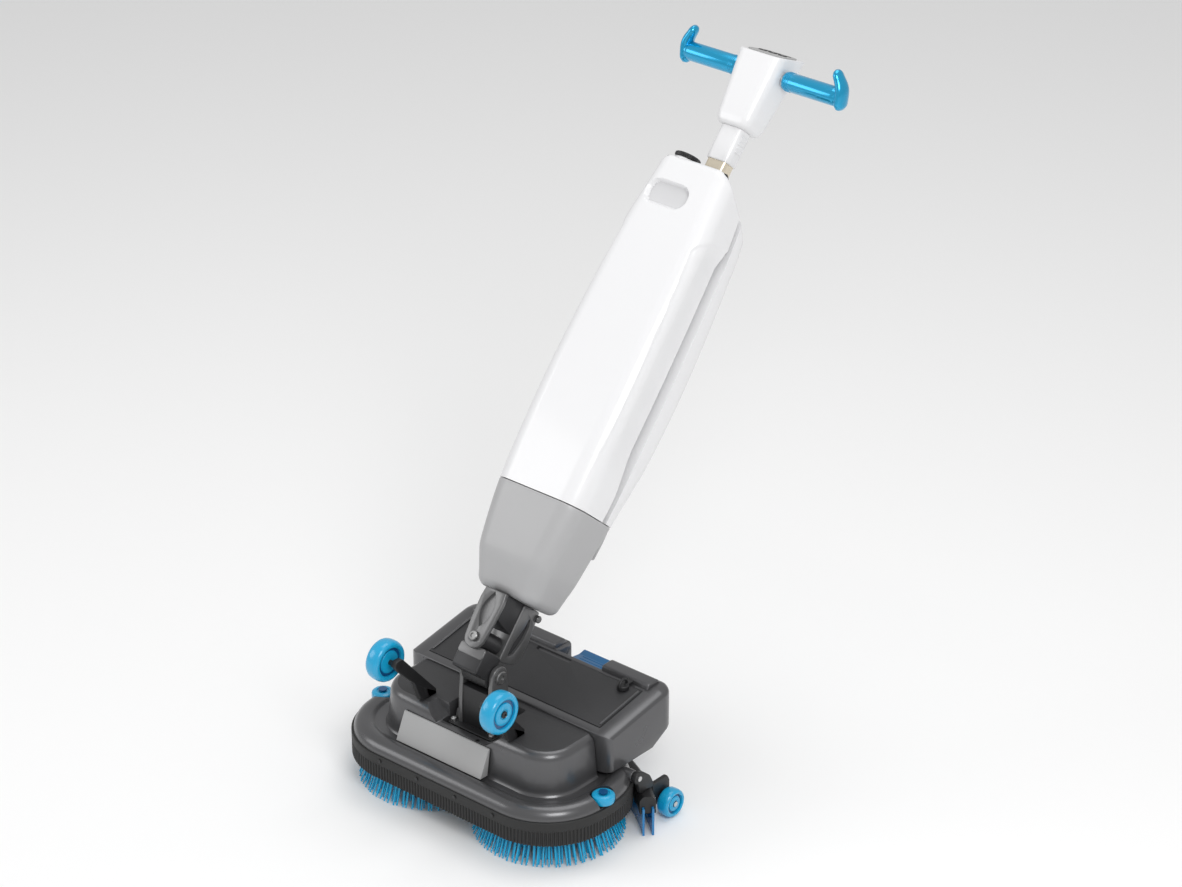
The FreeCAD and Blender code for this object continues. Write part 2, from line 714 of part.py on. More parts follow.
def make_lift_pedal():
    """The foot pedal that lifts the squeegee, on its own moulded trunnions."""
    body = new_body("lift_pedal", deck_frame)
    y = d.lid_rear + 16.0
    z = d.house_top - 30.0
    plate = side(body, d.notch_x).outline([
        (y - 5.0, z - 4.0), (y + 6.0, z - 5.0), (y + 46.0, z - 1.0), (y + 64.0, z + 3.0),
        (y + 64.0, z + 8.0), (y + 46.0, z + 5.0), (y + 14.0, z + 5.0), (y, z + 14.0),
        (y - 6.0, z + 10.0)])
    extrude(body, plate, d.notch_w - 14.0, both=True)
    extrude(body, side(body, d.notch_x).circle(y, z, 3.0), d.notch_w + 8.0, both=True)
    return body


# ---------------------------------------------------------------- squeegee

def arc_solid(radius_in, radius_out, low, high, half_span):
    """A band that follows the squeegee's plan arc, cut off at a half width."""
    centre = Vector(0, d.squeegee_y.value, low)
    rise = high - low
    ring = Part.makeCylinder(radius_out, rise, centre).cut(Part.makeCylinder(radius_in, rise, centre))
    rear_half = Part.makeBox(2 * half_span, 400, rise, Vector(-half_span, 0, low))
    return ring.common(rear_half)


def arc_band(name, *sizes):
    """A document object with the shape of a band."""
    body = doc.addObject("Part::Feature", name)
    body.Shape = arc_solid(*sizes)
    return body


def make_squeegee():
    """The curved carrier with its suction mouth and wheel brackets, and its two blades."""
    r = d.squeegee_r.value
    half = d.squeegee_half.value
    w = d.carrier_w.value
    low = d.carrier_low.value
    high = d.carrier_top.value
    blade_t = 3.5
    blade_top = d.blade_h.value
    carrier = arc_band("carrier", r - w / 2, r + w / 2, low, high, half - 4.0)
    mouth = Vector(0, d.squeegee_y.value + r, high - 20.0)
    shape = carrier.Shape.fuse(Part.makeCylinder(17.0, 34.0, mouth))
    shape = shape.cut(Part.makeCylinder(13.0, 40.0, mouth))
    inner = d.caster_x.value - d.caster_w.value / 2 - 2.0
    axle_y = d.caster_y.value
    axle_z = d.caster_r.value
    along = Vector(1, 0, 0)
    for _, sign in SIDES:
        plate = Part.makeBox(6.0, 64.0, 24.0, Vector(0, 80.0, high - 26.0))
        plate = plate.fuse(Part.makeCylinder(12.0, 6.0, Vector(0, axle_y, axle_z), along))
        plate = plate.fuse(Part.makeBox(6.0, 24.0, 30.0, Vector(0, axle_y - 12.0, axle_z)))
        plate = plate.cut(Part.makeCylinder(d.axle_r.value, 8.0, Vector(-1, axle_y, axle_z), along))
        plate.translate(Vector(inner - 6.0 if sign > 0 else -inner, 0, 0))
        shape = shape.fuse(plate)
    for label, offset in (("blade_front", -7.0), ("blade_rear", 7.0)):
        blade_in = r + offset - blade_t / 2
        blade_out = r + offset + blade_t / 2
        shape = shape.cut(arc_solid(blade_in - 0.1, blade_out + 0.1, 0.0, blade_top + 0.1, half + 1.0))
        keep(arc_band(label, blade_in, blade_out, 0.0, blade_top, half), label, deck_frame)
    carrier.Shape = shape.removeSplitter()
    return keep(carrier, "squeegee_body", deck_frame)


def make_squeegee_arms():
    """The two curved arms from the hinge pins down to the carrier."""
    arms = doc.addObject("Part::Feature", "arms")
    solids = []
    t = d.arm_t.value
    y = d.lift_y.value
    z = d.lift_z.value
    high = d.carrier_top.value
    along = Vector(1, 0, 0)
    for _, sign in SIDES:
        eye = Part.makeCylinder(9.0, t, Vector(0, y, z), along)
        points = [
            Vector(0, y - 8.0, z - 4.0), Vector(0, y + 4.0, z + 8.0), Vector(0, y + 22.0, z - 4.0),
            Vector(0, y + 32.0, high + 4.0), Vector(0, y + 32.0, high), Vector(0, y + 4.0, high)]
        web = Part.Face(Part.makePolygon(points + points[:1])).extrude(Vector(t, 0, 0))
        arm = eye.fuse(web)
        arm = arm.cut(Part.makeCylinder(d.axle_r.value, t + 2.0, Vector(-1, y, z), along))
        inner = d.lug_x.value + 1.0
        arm.translate(Vector(inner if sign > 0 else -inner - t, 0, 0))
        solids.append(arm.removeSplitter())
    arms.Shape = Part.makeCompound(solids)
    return keep(arms, "squeegee_arms", deck_frame)


def make_hinge_pins():
    """The two pins of the squeegee lift, turning in the pan's lugs."""
    pins = []
    for _, sign in SIDES:
        start = (sign * (d.lug_x - 19.0), d.lift_y, d.lift_z)
        pins.append(cylinder("pin", d.axle_r, d.arm_t + 22.0, start, (sign, 0, 0)))
    return group("squeegee_hinge_pins", pins, deck_frame)


def make_squeegee_axles():
    """The axles of the two squeegee wheels."""
    rods = []
    for _, sign in SIDES:
        start = d.caster_x - d.caster_w / 2 - 8.0
        where = (sign * start, d.caster_y, d.caster_r)
        rods.append(cylinder("axle", d.axle_r, d.caster_w + 8.0, where, (sign, 0, 0)))
    return group("squeegee_axles", rods, deck_frame)


# ---------------------------------------------------------------- neck

def make_neck_yoke():
    """The pedestal in the recess with the two ears of the pitch axis."""
    body = new_body("neck_yoke", deck_frame)
    floor = d.recess_floor
    out = d.ear_x + d.ear_t
    extrude(body, flat(body, floor).rounded(-44.0, -46.0, 44.0, 18.0, 4.0), 8.0)
    for _, sign in SIDES:
        x = sign * (d.ear_x + d.ear_t / 2)
        ear = side(body, x).outline([
            (d.pitch_y - 22.0, floor + 7.0), (d.pitch_y + 24.0, floor + 7.0),
            (d.pitch_y + 18.0, d.pitch_z - 30.0), (d.pitch_y + d.eye_r, d.pitch_z),
            (d.pitch_y - d.eye_r, d.pitch_z), (d.pitch_y - d.eye_r - 4.0, d.pitch_z - 34.0)])
        extrude(body, ear, d.ear_t, both=True)
        extrude(body, side(body, x).circle(d.pitch_y, d.pitch_z, d.eye_r), d.ear_t, both=True)
    web = flat(body, floor + 7.0).rectangle(
        -d.ear_x - 1.0, d.pitch_y - 20.0, d.ear_x + 1.0, d.pitch_y + 18.0)
    extrude(body, web, d.pitch_z - d.eye_r - 15.0 - floor)
    cut(body, side(body).circle(d.pitch_y, d.pitch_z, d.pin_r), 2 * out + 4.0, both=True)
    return body


def make_yoke_bolts():
    """The four cap screws that hold the yoke down."""
    bolts = []
    for x in (-37.0, 37.0):
        for y in (-38.0, 10.0):
            bolts.append(cylinder("cap_screw", 4.5, 5.0, (x, y, d.recess_floor + 8.0)))
    return group("yoke_bolts", bolts, deck_frame)


def make_neck_link():
    """The cross piece between the pitch axis and the roll axis."""
    body = new_body("neck_link", column_frame)
    half = d.ear_x - d.gap / 2
    front_face = -(d.fork_front - 9.0)
    extrude(body, side(body).circle(0.0, 0.0, d.eye_r - 1.0), 2 * half, both=True)
    block = side(body).outline([
        (front_face, -12.0), (0.0, -15.0), (14.0, 4.0), (2.0, 14.0), (-14.0, 20.0),
        (front_face, 20.0)])
    extrude(body, block, 2 * half, both=True)
    boss = front(body, front_face).circle(0.0, d.roll_up, d.eye_r - 1.0)
    extrude(body, boss, 43.0, back=True)
    neck = front(body, front_face).outline([
        (-14.0, 18.0), (14.0, 18.0), (14.0, d.roll_up), (-14.0, d.roll_up)])
    extrude(body, neck, 43.0, back=True)
    cut(body, side(body).circle(0.0, 0.0, d.pin_r + d.run), 60.0, both=True)
    bore = front(body).circle(0.0, d.roll_up, d.pin_r)
    cut(body, bore, 140.0, both=True)
    return body


def make_neck_fork():
    """The fork on the column: a thin front arm, a deep rear arm, joined under the base."""
    body = new_body("neck_fork", column_frame)
    top = d.base_foot
    arm_r = d.eye_r + 1.0
    face = -d.fork_front
    tear = [(-arm_r, d.roll_up), (arm_r, d.roll_up), (21.0, top - 16.0),
            (19.0, top), (-19.0, top), (-21.0, top - 16.0)]
    extrude(body, front(body, face).outline(tear), 8.0, back=True)
    extrude(body, front(body, face).circle(0.0, d.roll_up, arm_r), 8.0, back=True)
    hollow = front(body, face).outline([
        (0.0, 62.0), (7.0, 74.0), (8.0, 86.0), (5.0, 98.0), (0.0, 103.0), (-5.0, 98.0),
        (-8.0, 86.0), (-7.0, 74.0)])
    cut(body, hollow, 3.0)
    rear_length = d.fork_rear + 3.0
    extrude(body, front(body, d.fork_rear).outline(tear), rear_length)
    extrude(body, front(body, d.fork_rear).circle(0.0, d.roll_up, arm_r), rear_length)
    bridge = side(body).outline([
        (face + 1.0, d.roll_up + 34.0), (0.0, d.roll_up + 22.0), (0.0, top), (face + 1.0, top)])
    extrude(body, bridge, 36.0, both=True)
    bore = front(body).circle(0.0, d.roll_up, d.pin_r + d.run)
    cut(body, bore, 160.0, both=True)
    return body


def make_pitch_pin():
    """The pin through the ears and the link, with a head at each end."""
    half = d.ear_x + d.ear_t
    rod = cylinder("rod", d.pin_r, 2 * half, (-half, 0.0, 0.0), (1, 0, 0))
    pieces = [rod]
    for sign in (-1, 1):
        pieces.append(cylinder("head", 10.0, 4.0, (sign * half, 0.0, 0.0), (sign, 0, 0)))
    pin = doc.addObject("Part::MultiFuse", "pitch_pin")
    pin.Shapes = pieces
    return keep(pin, "pitch_pin", upright_pin_frame)


def upright_pin_frame(thing):
    """Place a piece on the pitch axis without the column's lean."""
    base = Vector(0, (d.deck_y + d.pitch_y).value, d.pitch_z.value)
    thing.Placement = Placement(base, Rotation())
    thing.setExpression("Placement.Base.y", (d.deck_y + d.pitch_y).text)
    thing.setExpression("Placement.Base.z", d.pitch_z.text)


def make_roll_pin():
    """The bolt through the fork and the link, with its head at the front."""
    length = d.fork_front + d.fork_rear - 2.0
    rod = cylinder("rod", d.pin_r, length, (0.0, -d.fork_front - 1.0, d.roll_up), (0, 1, 0))
    head = cylinder("head", 9.5, 5.0, (0.0, -d.fork_front - 5.3, d.roll_up), (0, 1, 0))
    pin = doc.addObject("Part::Fuse", "roll_pin")
    pin.Base = rod
    pin.Tool = head
    return keep(pin, "roll_pin", column_frame)


# ---------------------------------------------------------------- column

def body_section(height, width, front_face, rear_face, corner):
    """One cross-section of the column body; the faces are counted from the column line."""
    return (height, -width / 2, -front_face, width / 2, rear_face, corner)


def shrunk(section, wall):
    height, x0, y0, x1, y1, corner = section
    return (height, x0 + wall, y0 + wall, x1 - wall, y1 - wall, corner - wall)


def make_column_base():
    """The grey motor housing at the foot of the column, closed below and open above."""
    body = new_body("column_base", column_frame)
    sections = (
        body_section(d.base_foot, 0.68 * d.body_w, 46.0, 41.0, 26.0),
        body_section(d.base_foot + 55.0, 0.83 * d.body_w, 69.0, 41.0, 30.0),
        body_section(d.seam, 0.97 * d.body_w, 79.0, 43.0, 37.0),
    )
    loft(body, sections)
    rows = [list(shrunk(row, 4.0)) for row in sections]
    rows[0][0] = d.base_foot + 14.0
    rows[2][0] = d.seam + 0.01
    loft(body, rows, "PartDesign::SubtractiveLoft")
    return body


def make_column_spine():
    """The box-section mast between the tanks, in which the handle tube slides."""
    body = new_body("column_spine", column_frame)
    wall = 3.5
    half_w = d.tube_w / 2 + 0.5
    half_d = d.tube_d / 2 + 0.5
    corner = d.tube_corner + 0.5
    y = -d.tube_fwd
    low = d.base_foot + 14.2
    top = d.tank_top - 14.0
    outer = flat(body, low).rounded(
        -half_w - wall, y - half_d - wall, half_w + wall, y + half_d + wall, corner + wall)
    extrude(body, outer, top - low)
    inner = flat(body, low + 20.0).rounded(-half_w, y - half_d, half_w, y + half_d, corner)
    cut(body, inner, top - low, back=True)
    return body


def make_clean_tank():
    """The front tank for clean water: the white shell that wraps the sides of the mast."""
    body = new_body("clean_tank", column_frame)
    split = d.tank_split - 0.4
    w = d.body_w
    outer = (
        body_section(d.seam + 0.5, 0.97 * w, 79.0, split, 16.0),
        body_section(d.seam + 110.0, w, 83.0, split, 18.0),
        body_section(d.seam + 250.0, 0.99 * w, 82.0, split, 18.0),
        body_section(d.seam + 420.0, 0.93 * w, 76.0, split, 18.0),
        body_section(d.tank_top, 0.80 * w, 68.0, split, 16.0),
    )
    loft(body, outer)
    channel = flat(body, d.seam).rectangle(
        -d.tube_w / 2 - 6.0, -d.tube_fwd - d.tube_d / 2 - 6.0, d.tube_w / 2 + 6.0, 30.0)
    cut(body, channel, 700.0, back=True)
    room = []
    for height, x0, y0, x1, y1, corner in outer:
        room.append([height, x0 + 4.0, y0 + 4.0, x1 - 4.0, -d.tube_fwd - d.tube_d / 2 - 10.0, 12.0])
    room[0][0] = d.seam + 6.0
    room[-1][0] = d.tank_top - 40.0
    loft(body, room, "PartDesign::SubtractiveLoft")
    for _, sign in SIDES:
        pocket = flat(body, d.seam + 6.0).rounded(
            sign * 48.0 - 20.0, -36.0, sign * 48.0 + 20.0, 0.0, 5.0)
        cut(body, pocket, d.tank_top - d.seam - 120.0, back=True)
    slope = side(body).outline([
        (-80.0, d.tank_top + 6.0), (-68.0, d.tank_top - 1.0), (10.0, d.tank_top - 50.0),
        (10.0, d.tank_top + 6.0)])
    cut(body, slope, 2 * d.body_w, both=True)
    collar = flat(body, d.tank_top - 24.0).circle(d.filler_x, d.filler_y, 17.0)
    extrude(body, collar, 24.0)
    spout = flat(body, d.tank_top + 1.0).circle(d.filler_x, d.filler_y, 13.0)
    cut(body, spout, 46.0)
    return body


def make_fill_cap():
    """The screw cap of the clean water tank."""
    body = new_body("fill_cap", column_frame)
    extrude(body, flat(body, d.tank_top + 0.4).circle(d.filler_x, d.filler_y, 20.0), 7.0)
    extrude(body, flat(body, d.tank_top - 9.0).circle(d.filler_x, d.filler_y, 12.7), 12.0)
    return body


def make_recovery_tank():
    """The rear tank for dirty water, lifted off backwards."""
    body = new_body("recovery_tank", column_frame)
    split = d.tank_split + 0.4
    w = d.body_w
    front_side = Dim(-split.value, "(0 - %s)" % split.text)
    low = d.seam + 0.5
    outer = (
        body_section(low, 0.95 * w, front_side, 43.0, 14.0),
        body_section(d.seam + 130.0, 0.97 * w, front_side, 56.0, 15.0),
        body_section(d.seam + 290.0, 0.95 * w, front_side, 56.0, 15.0),
        body_section(d.tank_top - 66.0, 0.86 * w, front_side, 44.0, 14.0),
    )
    loft(body, outer)
    channel = flat(body, d.seam).rectangle(
        -d.tube_w / 2 - 6.0, -20.0, d.tube_w / 2 + 6.0, -d.tube_fwd + d.tube_d / 2 + 6.0)
    cut(body, channel, 700.0, back=True)
    room = [[row[0], row[1] + 4.0, row[2] + 9.0, row[3] - 4.0, row[4] - 4.0, 9.0] for row in outer]
    room[0][0] = d.seam + 5.0
    room[-1][0] = d.tank_top - 71.0
    loft(body, room, "PartDesign::SubtractiveLoft")
    hole = flat(body, d.tank_top - 66.0).circle(0.0, 30.0, 9.0)
    cut(body, hole, 20.0, both=True)
    return body


def make_tank_lid():
    """The black sloping lid and seal over the tank tops."""
    body = new_body("tank_lid", column_frame)
    low = d.tank_top - 65.6
    y = d.tank_split
    profile = side(body).outline([
        (y + 1.0, low), (y + 36.0, low), (y + 32.0, low + 7.0), (y + 10.0, low + 19.0),
        (y + 1.0, low + 22.0)])
    extrude(body, profile, 0.76 * d.body_w, both=True)
    soften(body, 4.0, lambda p, e: abs(p.x) > 0.37 * d.body_w.value and p.y > y.value + 3
           and e.Length > 8 and p.z > low.value + 1)
    slot = flat(body, low - 1.0).rectangle(
        -d.tube_w / 2 - 6.0, 0.0, d.tube_w / 2 + 6.0, -d.tube_fwd + d.tube_d / 2 + 6.0)
    cut(body, slot, 120.0, back=True)
    return body


def make_tank_latch():
    """The spring tab low on the rear tank that releases it from the base."""
    body = new_body("tank_latch", column_frame)
    y = 44.2
    profile = side(body).outline([
        (y, d.seam - 52.0), (y + 7.0, d.seam - 50.0), (y + 9.0, d.seam - 4.0),
        (y, d.seam - 2.0)])
    extrude(body, profile, 46.0, both=True)
    return body


def at_column(x, y, z):
    """A frame that follows the column, with its origin moved to a point of it."""
    def place(thing):
        column_frame(thing)
        for name in ("Placement.Base.y", "Placement.Base.z", "Placement.Rotation.Angle"):
            thing.setExpression(name, None)
        moved = Placement(Vector(number(x), number(y), number(z)), Rotation())
        thing.Placement = thing.Placement.multiply(moved)
    return place


FAN_X = 43.0
FAN_Y = -44.0


def make_vacuum_motor():
    """The suction motor in the column base."""
    body = new_body("vacuum_motor", at_column(FAN_X, FAN_Y, d.base_foot + 70.0))
    extrude(body, flat(body).circle(0.0, 0.0, 19.0), 54.0)
    extrude(body, flat(body, 54.0).circle(0.0, 0.0, 3.0), 16.0)
    return body


def make_vacuum_fan():
    """The fan wheel on the suction motor's shaft."""
    body = new_body("vacuum_fan", at_column(FAN_X, FAN_Y, d.base_foot + 126.0))
    extrude(body, flat(body).circle(0.0, 0.0, 18.0), 2.5)
    extrude(body, flat(body, 2.5).circle(0.0, 0.0, 6.0), 8.0)
    cut(body, flat(body).circle(0.0, 0.0, 3.0 + d.run), 40.0, both=True)
    blade = extrude(body, flat(body, 2.0).rectangle(5.0, -0.8, 17.5, 0.8), 8.0)
    pattern = body.newObject("PartDesign::PolarPattern", "Blades")
    pattern.Originals = [blade]
    for feature in body.Origin.OriginFeatures:
        if feature.Role == "Z_Axis":
            pattern.Axis = (feature, [""])
    pattern.Angle = 360.0
    pattern.Occurrences = 8
    body.Tip = pattern
    return body


def make_water_pump():
    """The small pump that feeds clean water to the brushes."""
    body = new_body("water_pump", at_column(-43.0, -41.0, d.base_foot + 62.0))
    extrude(body, flat(body).rounded(-15.0, -15.0, 15.0, 15.0, 5.0), 44.0)
    extrude(body, flat(body, 44.0).circle(0.0, 0.0, 12.0), 26.0)
    extrude(body, flat(body, 70.0).circle(0.0, 0.0, 4.0), 12.0)
    return body


def make_float_ball():
    """The float that shuts off suction when the rear tank is full."""
    ball = doc.addObject("Part::Sphere", "float")
    bind(ball, "Radius", 10.0)
    ball.Placement = Placement(Vector(0, 32.0, d.tank_top.value - 150.0), Rotation())
    ball.setExpression("Placement.Base.z", (d.tank_top - 150.0).text)
    return group("float_ball", [ball], column_frame)


# ---------------------------------------------------------------- handle

def make_handle_tube():
    """The flat-oval aluminium tube."""
    body = new_body("handle_tube", column_frame)
    half_w = d.tube_w / 2
    half_d = d.tube_d / 2
    y = -d.tube_fwd
    high = d.head_low + 40.0
    wall = 2.0
    outer = flat(body, d.tube_low).rounded(-half_w, y - half_d, half_w, y + half_d, d.tube_corner)
    extrude(body, outer, high - d.tube_low)
    inner = flat(body, d.tube_low).rounded(
        wall - half_w, y - half_d + wall, half_w - wall, y + half_d - wall, d.tube_corner - wall)
    cut(body, inner, 400.0, back=True)
    return body


def make_tube_sleeve():
    """The moulded sleeve below the head, with small grip ribs on its sides."""
    body = new_body("tube_sleeve", column_frame)
    y = -d.tube_fwd
    half_w = d.tube_w / 2
    half_d = d.tube_d / 2
    t = 2.6
    top = d.head_low - 0.1
    outer = flat(body, d.sleeve_low).rounded(
        -half_w - t, y - half_d - t, half_w + t, y + half_d + t, d.tube_corner + t)
    extrude(body, outer, top - d.sleeve_low)
    for i in range(5):
        low = d.head_low - 10.0 - 6.0 * i
        for sign in (-1, 1):
            x = sign * (half_w + t)
            extrude(body, flat(body, low).rectangle(x - 1.0, y - 9.0, x + 1.0, y + 9.0), 2.4)
    inner = flat(body, d.sleeve_low).rounded(
        -half_w, y - half_d, half_w, y + half_d, d.tube_corner)
    cut(body, inner, 120.0, back=True)
    return body


def make_handle_head():
    """The head that joins tube and handle bar and carries the control panel."""
    body = new_body("handle_head", column_frame)
    y = -d.tube_fwd
    sections = (
        (d.head_low, -32.0, y - 27.0, 32.0, y + 29.0, 14.0),
        (d.head_low + 70.0, -38.0, y - 33.0, 38.0, y + 34.0, 17.0),
        (d.head_top + 10.0, -42.0, y - 37.0, 42.0, y + 38.0, 20.0),
    )
    loft(body, sections)
    slope = side(body).outline([
        (y - 60.0, d.head_top - 14.0), (y + 60.0, d.head_top + 14.0),
        (y + 60.0, d.head_top + 40.0), (y - 60.0, d.head_top + 40.0)])
    cut(body, slope, 120.0, both=True)
    half_w = d.tube_w / 2
    half_d = d.tube_d / 2
    socket = flat(body, d.head_low).rounded(-half_w, y - half_d, half_w, y + half_d, d.tube_corner)
    cut(body, socket, 40.0, back=True)
    room = flat(body, d.head_low + 44.0).rounded(-26.0, y - 22.0, 26.0, y + 22.0, 8.0)
    cut(body, room, 30.0, back=True)
    well = flat(body, d.bar_up + 14.0).rounded(-28.0, y - 22.0, 28.0, y + 22.0, 8.0)
    cut(body, well, 60.0, back=True)
    cut(body, side(body).circle(y, d.bar_up, d.bar_r), 120.0, both=True)
    return body


def panel_frame(thing):
    """Place a piece on the sloping top of the head, drawn with +Z square to the slope."""
    column_frame(thing)
    slope = math.degrees(math.atan2(28.0, 120.0))
    local = Placement(Vector(0, -d.tube_fwd.value, d.head_top.value), Rotation(Vector(1, 0, 0), slope))
    for name in ("Placement.Base.y", "Placement.Base.z", "Placement.Rotation.Angle"):
        thing.setExpression(name, None)
    thing.Placement = thing.Placement.multiply(local)


def make_control_panel():
    """The oval panel plate with three openings for the buttons."""
    body = new_body("control_panel", panel_frame)
    extrude(body, flat(body, 0.1).rounded(-34.0, -27.0, 34.0, 27.0, 18.0), 1.6)
    for x in (-18.0, 0.0, 18.0):
        cut(body, flat(body, 0.1).rounded(x - 7.0, -5.5, x + 7.0, 5.5, 4.0), 5.0, back=True)
    return body


def make_button(name, x):
    body = new_body(name, panel_frame)
    cap = flat(body, -3.5).rounded(x - 6.6, -5.1, x + 6.6, 5.1, 3.6)
    extrude(body, cap, 6.5)
    soften(body, 0.8, lambda p, e: near(p.z, 3.0))
    return body


def make_handle_bar():
    """The steel tube through the head."""
    body = new_body("handle_bar", column_frame)
    tube = side(body).circle(-d.tube_fwd, d.bar_up, d.bar_r).circle(-d.tube_fwd, d.bar_up, d.bar_r - 2.5)
    extrude(body, tube, 2 * d.bar_reach, both=True)
    return body


def make_grip(name, sign):
    """A hand grip with its upturned end horn."""
    body = new_body(name, column_frame)
    y = -d.tube_fwd
    start = 43.5
    length = d.bar_half - start
    mid = start + length / 2
    extrude(body, side(body, sign * mid).circle(y, d.bar_up, d.grip_r), length, both=True)
    lean = math.radians(34.5)
    forward = math.sin(lean)
    up = math.cos(lean)

    def at(along, across):
        """A point on the horn's plane, along the horn and across it."""
        return (y - forward * along + up * across, d.bar_up + up * along + forward * across)

    horn = side(body, sign * (d.bar_half + 3.0)).outline([
        at(-15.0, -9.0), at(-15.0, 9.0), at(14.0, 11.0), at(32.0, 8.0), at(38.0, 3.0),
        at(38.0, -3.0), at(32.0, -8.0), at(14.0, -11.0)])
    extrude(body, horn, 9.0, both=True)
    tip = side(body, sign * (d.bar_half - 4.0)).outline([
        at(26.0, -8.0), at(26.0, 8.0), at(40.0, 4.0), at(40.0, -4.0)])
    extrude(body, tip, 14.0, both=True)
    bore = side(body, sign * start).circle(y, d.bar_up, d.bar_r)
    cut(body, bore, 2 * (d.bar_reach - start), both=True)
    return body


# ---------------------------------------------------------------- the whole machine

make_deck_base()
make_splash_skirt()
make_skirt_screws()
make_deck_cover()
make_rear_housing()
make_battery_lid()
make_battery_pack()
make_lid_latch()
make_label_plate()
make_spindle_bearings()
make_wheel_axles()
make_roller_pins()
make_lift_pedal()
for side_name, side_sign in SIDES:
    make_motor("motor_" + side_name, side_sign)
    make_brush_disc("brush_disc_" + side_name, side_sign)
    make_bristles("bristles_" + side_name, side_sign)
    make_wheel_arm("wheel_arm_" + side_name, side_sign)
    make_wheel("transport_wheel_" + side_name, side_sign * d.wheel_x, d.wheel_y, d.wheel_z,
               d.wheel_r, d.wheel_w, 22.0, 9.0, side_sign, True)
    make_corner_roller("corner_roller_" + side_name, side_sign)
    make_wheel("squeegee_wheel_" + side_name, side_sign * d.caster_x, d.caster_y, d.caster_r,
               d.caster_r, d.caster_w, 15.0, 4.0, side_sign, False)
    make_grip("grip_" + side_name, side_sign)
make_squeegee()
make_squeegee_arms()
make_hinge_pins()
make_squeegee_axles()
make_neck_yoke()
make_yoke_bolts()
make_neck_link()
make_neck_fork()
make_pitch_pin()
make_roll_pin()
make_column_base()
make_column_spine()
make_clean_tank()
make_fill_cap()
make_recovery_tank()
make_tank_lid()
make_tank_latch()
make_vacuum_motor()
make_vacuum_fan()
make_water_pump()
make_float_ball()
make_handle_tube()
make_tube_sleeve()
make_handle_head()
make_control_panel()
make_button("button_power", -18.0)
make_button("button_water", 0.0)
make_button("button_suction", 18.0)
make_handle_bar()

doc.recompute()

for thing in doc.Objects:
    if "Invalid" in thing.State or "Error" in thing.State:
        raise ValueError("%s failed: %s" % (thing.Name, thing.State))
faulty = [node.Label for node in NODES if node.Shape.isNull() or not node.Shape.isValid()]
if faulty:
    raise ValueError("no valid shape: " + ", ".join(faulty))

os.makedirs("parts", exist_ok=True)
for node in NODES:
    node.Shape.exportStep(os.path.join("parts", node.Label + ".step"))

whole = FreeCAD.BoundBox()
for node in NODES:
    whole.add(node.Shape.BoundBox)
print("nodes", len(NODES), "box", whole)
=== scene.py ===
"""The looks of the wet and dry floor scrubber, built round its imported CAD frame.

Shapes are written in millimetres in two local frames: deck(), on the floor under the brush
deck's middle, and column(), on the pitch axis with z running up the leaning column.
"""

from math import asin, cos, hypot, pi, radians, sin, sqrt, tan, tau
import random

import bmesh
import bpy
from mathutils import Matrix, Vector


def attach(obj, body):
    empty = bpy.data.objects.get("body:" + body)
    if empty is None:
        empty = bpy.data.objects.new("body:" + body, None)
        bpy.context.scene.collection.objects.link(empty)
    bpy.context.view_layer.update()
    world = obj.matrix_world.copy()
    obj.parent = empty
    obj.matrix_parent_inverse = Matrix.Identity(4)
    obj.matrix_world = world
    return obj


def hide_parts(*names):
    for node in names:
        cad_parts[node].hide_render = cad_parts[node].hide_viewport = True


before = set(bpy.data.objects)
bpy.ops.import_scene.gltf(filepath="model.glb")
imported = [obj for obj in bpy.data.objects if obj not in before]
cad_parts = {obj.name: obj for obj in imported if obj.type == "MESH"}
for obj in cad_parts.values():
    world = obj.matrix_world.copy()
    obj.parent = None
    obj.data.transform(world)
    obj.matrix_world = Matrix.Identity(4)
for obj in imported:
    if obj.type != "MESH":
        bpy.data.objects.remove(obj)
scene = bpy.context.scene
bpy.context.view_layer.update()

DECK_Y = -264.0
PITCH_Y = -13.0
PITCH_Z = 223.0
LEAN = radians(40.8)
SIDES = (("left", -1), ("right", 1))
SIGNS = (-1, 1)

BRUSH_X = 113.0  # the brushes' axes, each side of the middle
ROLLER_X = 216.0  # the corner rollers' axes
CARRY_AXLE = (-102, 237)  # y and z of the carrying wheels' axles
LIFT_HINGE = (72, 90)  # y and z of the squeegee's hinge
PEDAL_HINGE = (160, 154)  # y and z of the pedal's pivot
ROLL_Z = 37  # the neck's second axis, up the column from the first
GRIP_Y, GRIP_Z = -8.0, 958.0  # the handle bar's axis
FILLER = (-28, -48)  # the filler's axis
AXLE_R = 4.1  # the bore of every wheel and roller


def deck(x, y, z):
    """A place on the deck, in the scene's metres."""
    return Vector((x, y + DECK_Y, z)) / 1000


def column(x, y, z):
    """A place on the leaning column, in the scene's metres."""
    along_y = DECK_Y + PITCH_Y + y * cos(LEAN) + z * sin(LEAN)
    return Vector((x, along_y, PITCH_Z + z * cos(LEAN) - y * sin(LEAN))) / 1000


# ---- materials

def set_inputs(node, **values):
    """Set a node's own sockets; an underscore stands for the space in a socket's name."""
    for socket, value in values.items():
        node.inputs[socket.replace("_", " ")].default_value = value


def noise(tree, where, scale, detail):
    node = tree.nodes.new("ShaderNodeTexNoise")
    set_inputs(node, Scale=scale, Detail=detail)
    tree.links.new(where.outputs["Object"], node.inputs["Vector"])
    return node.outputs["Fac"]


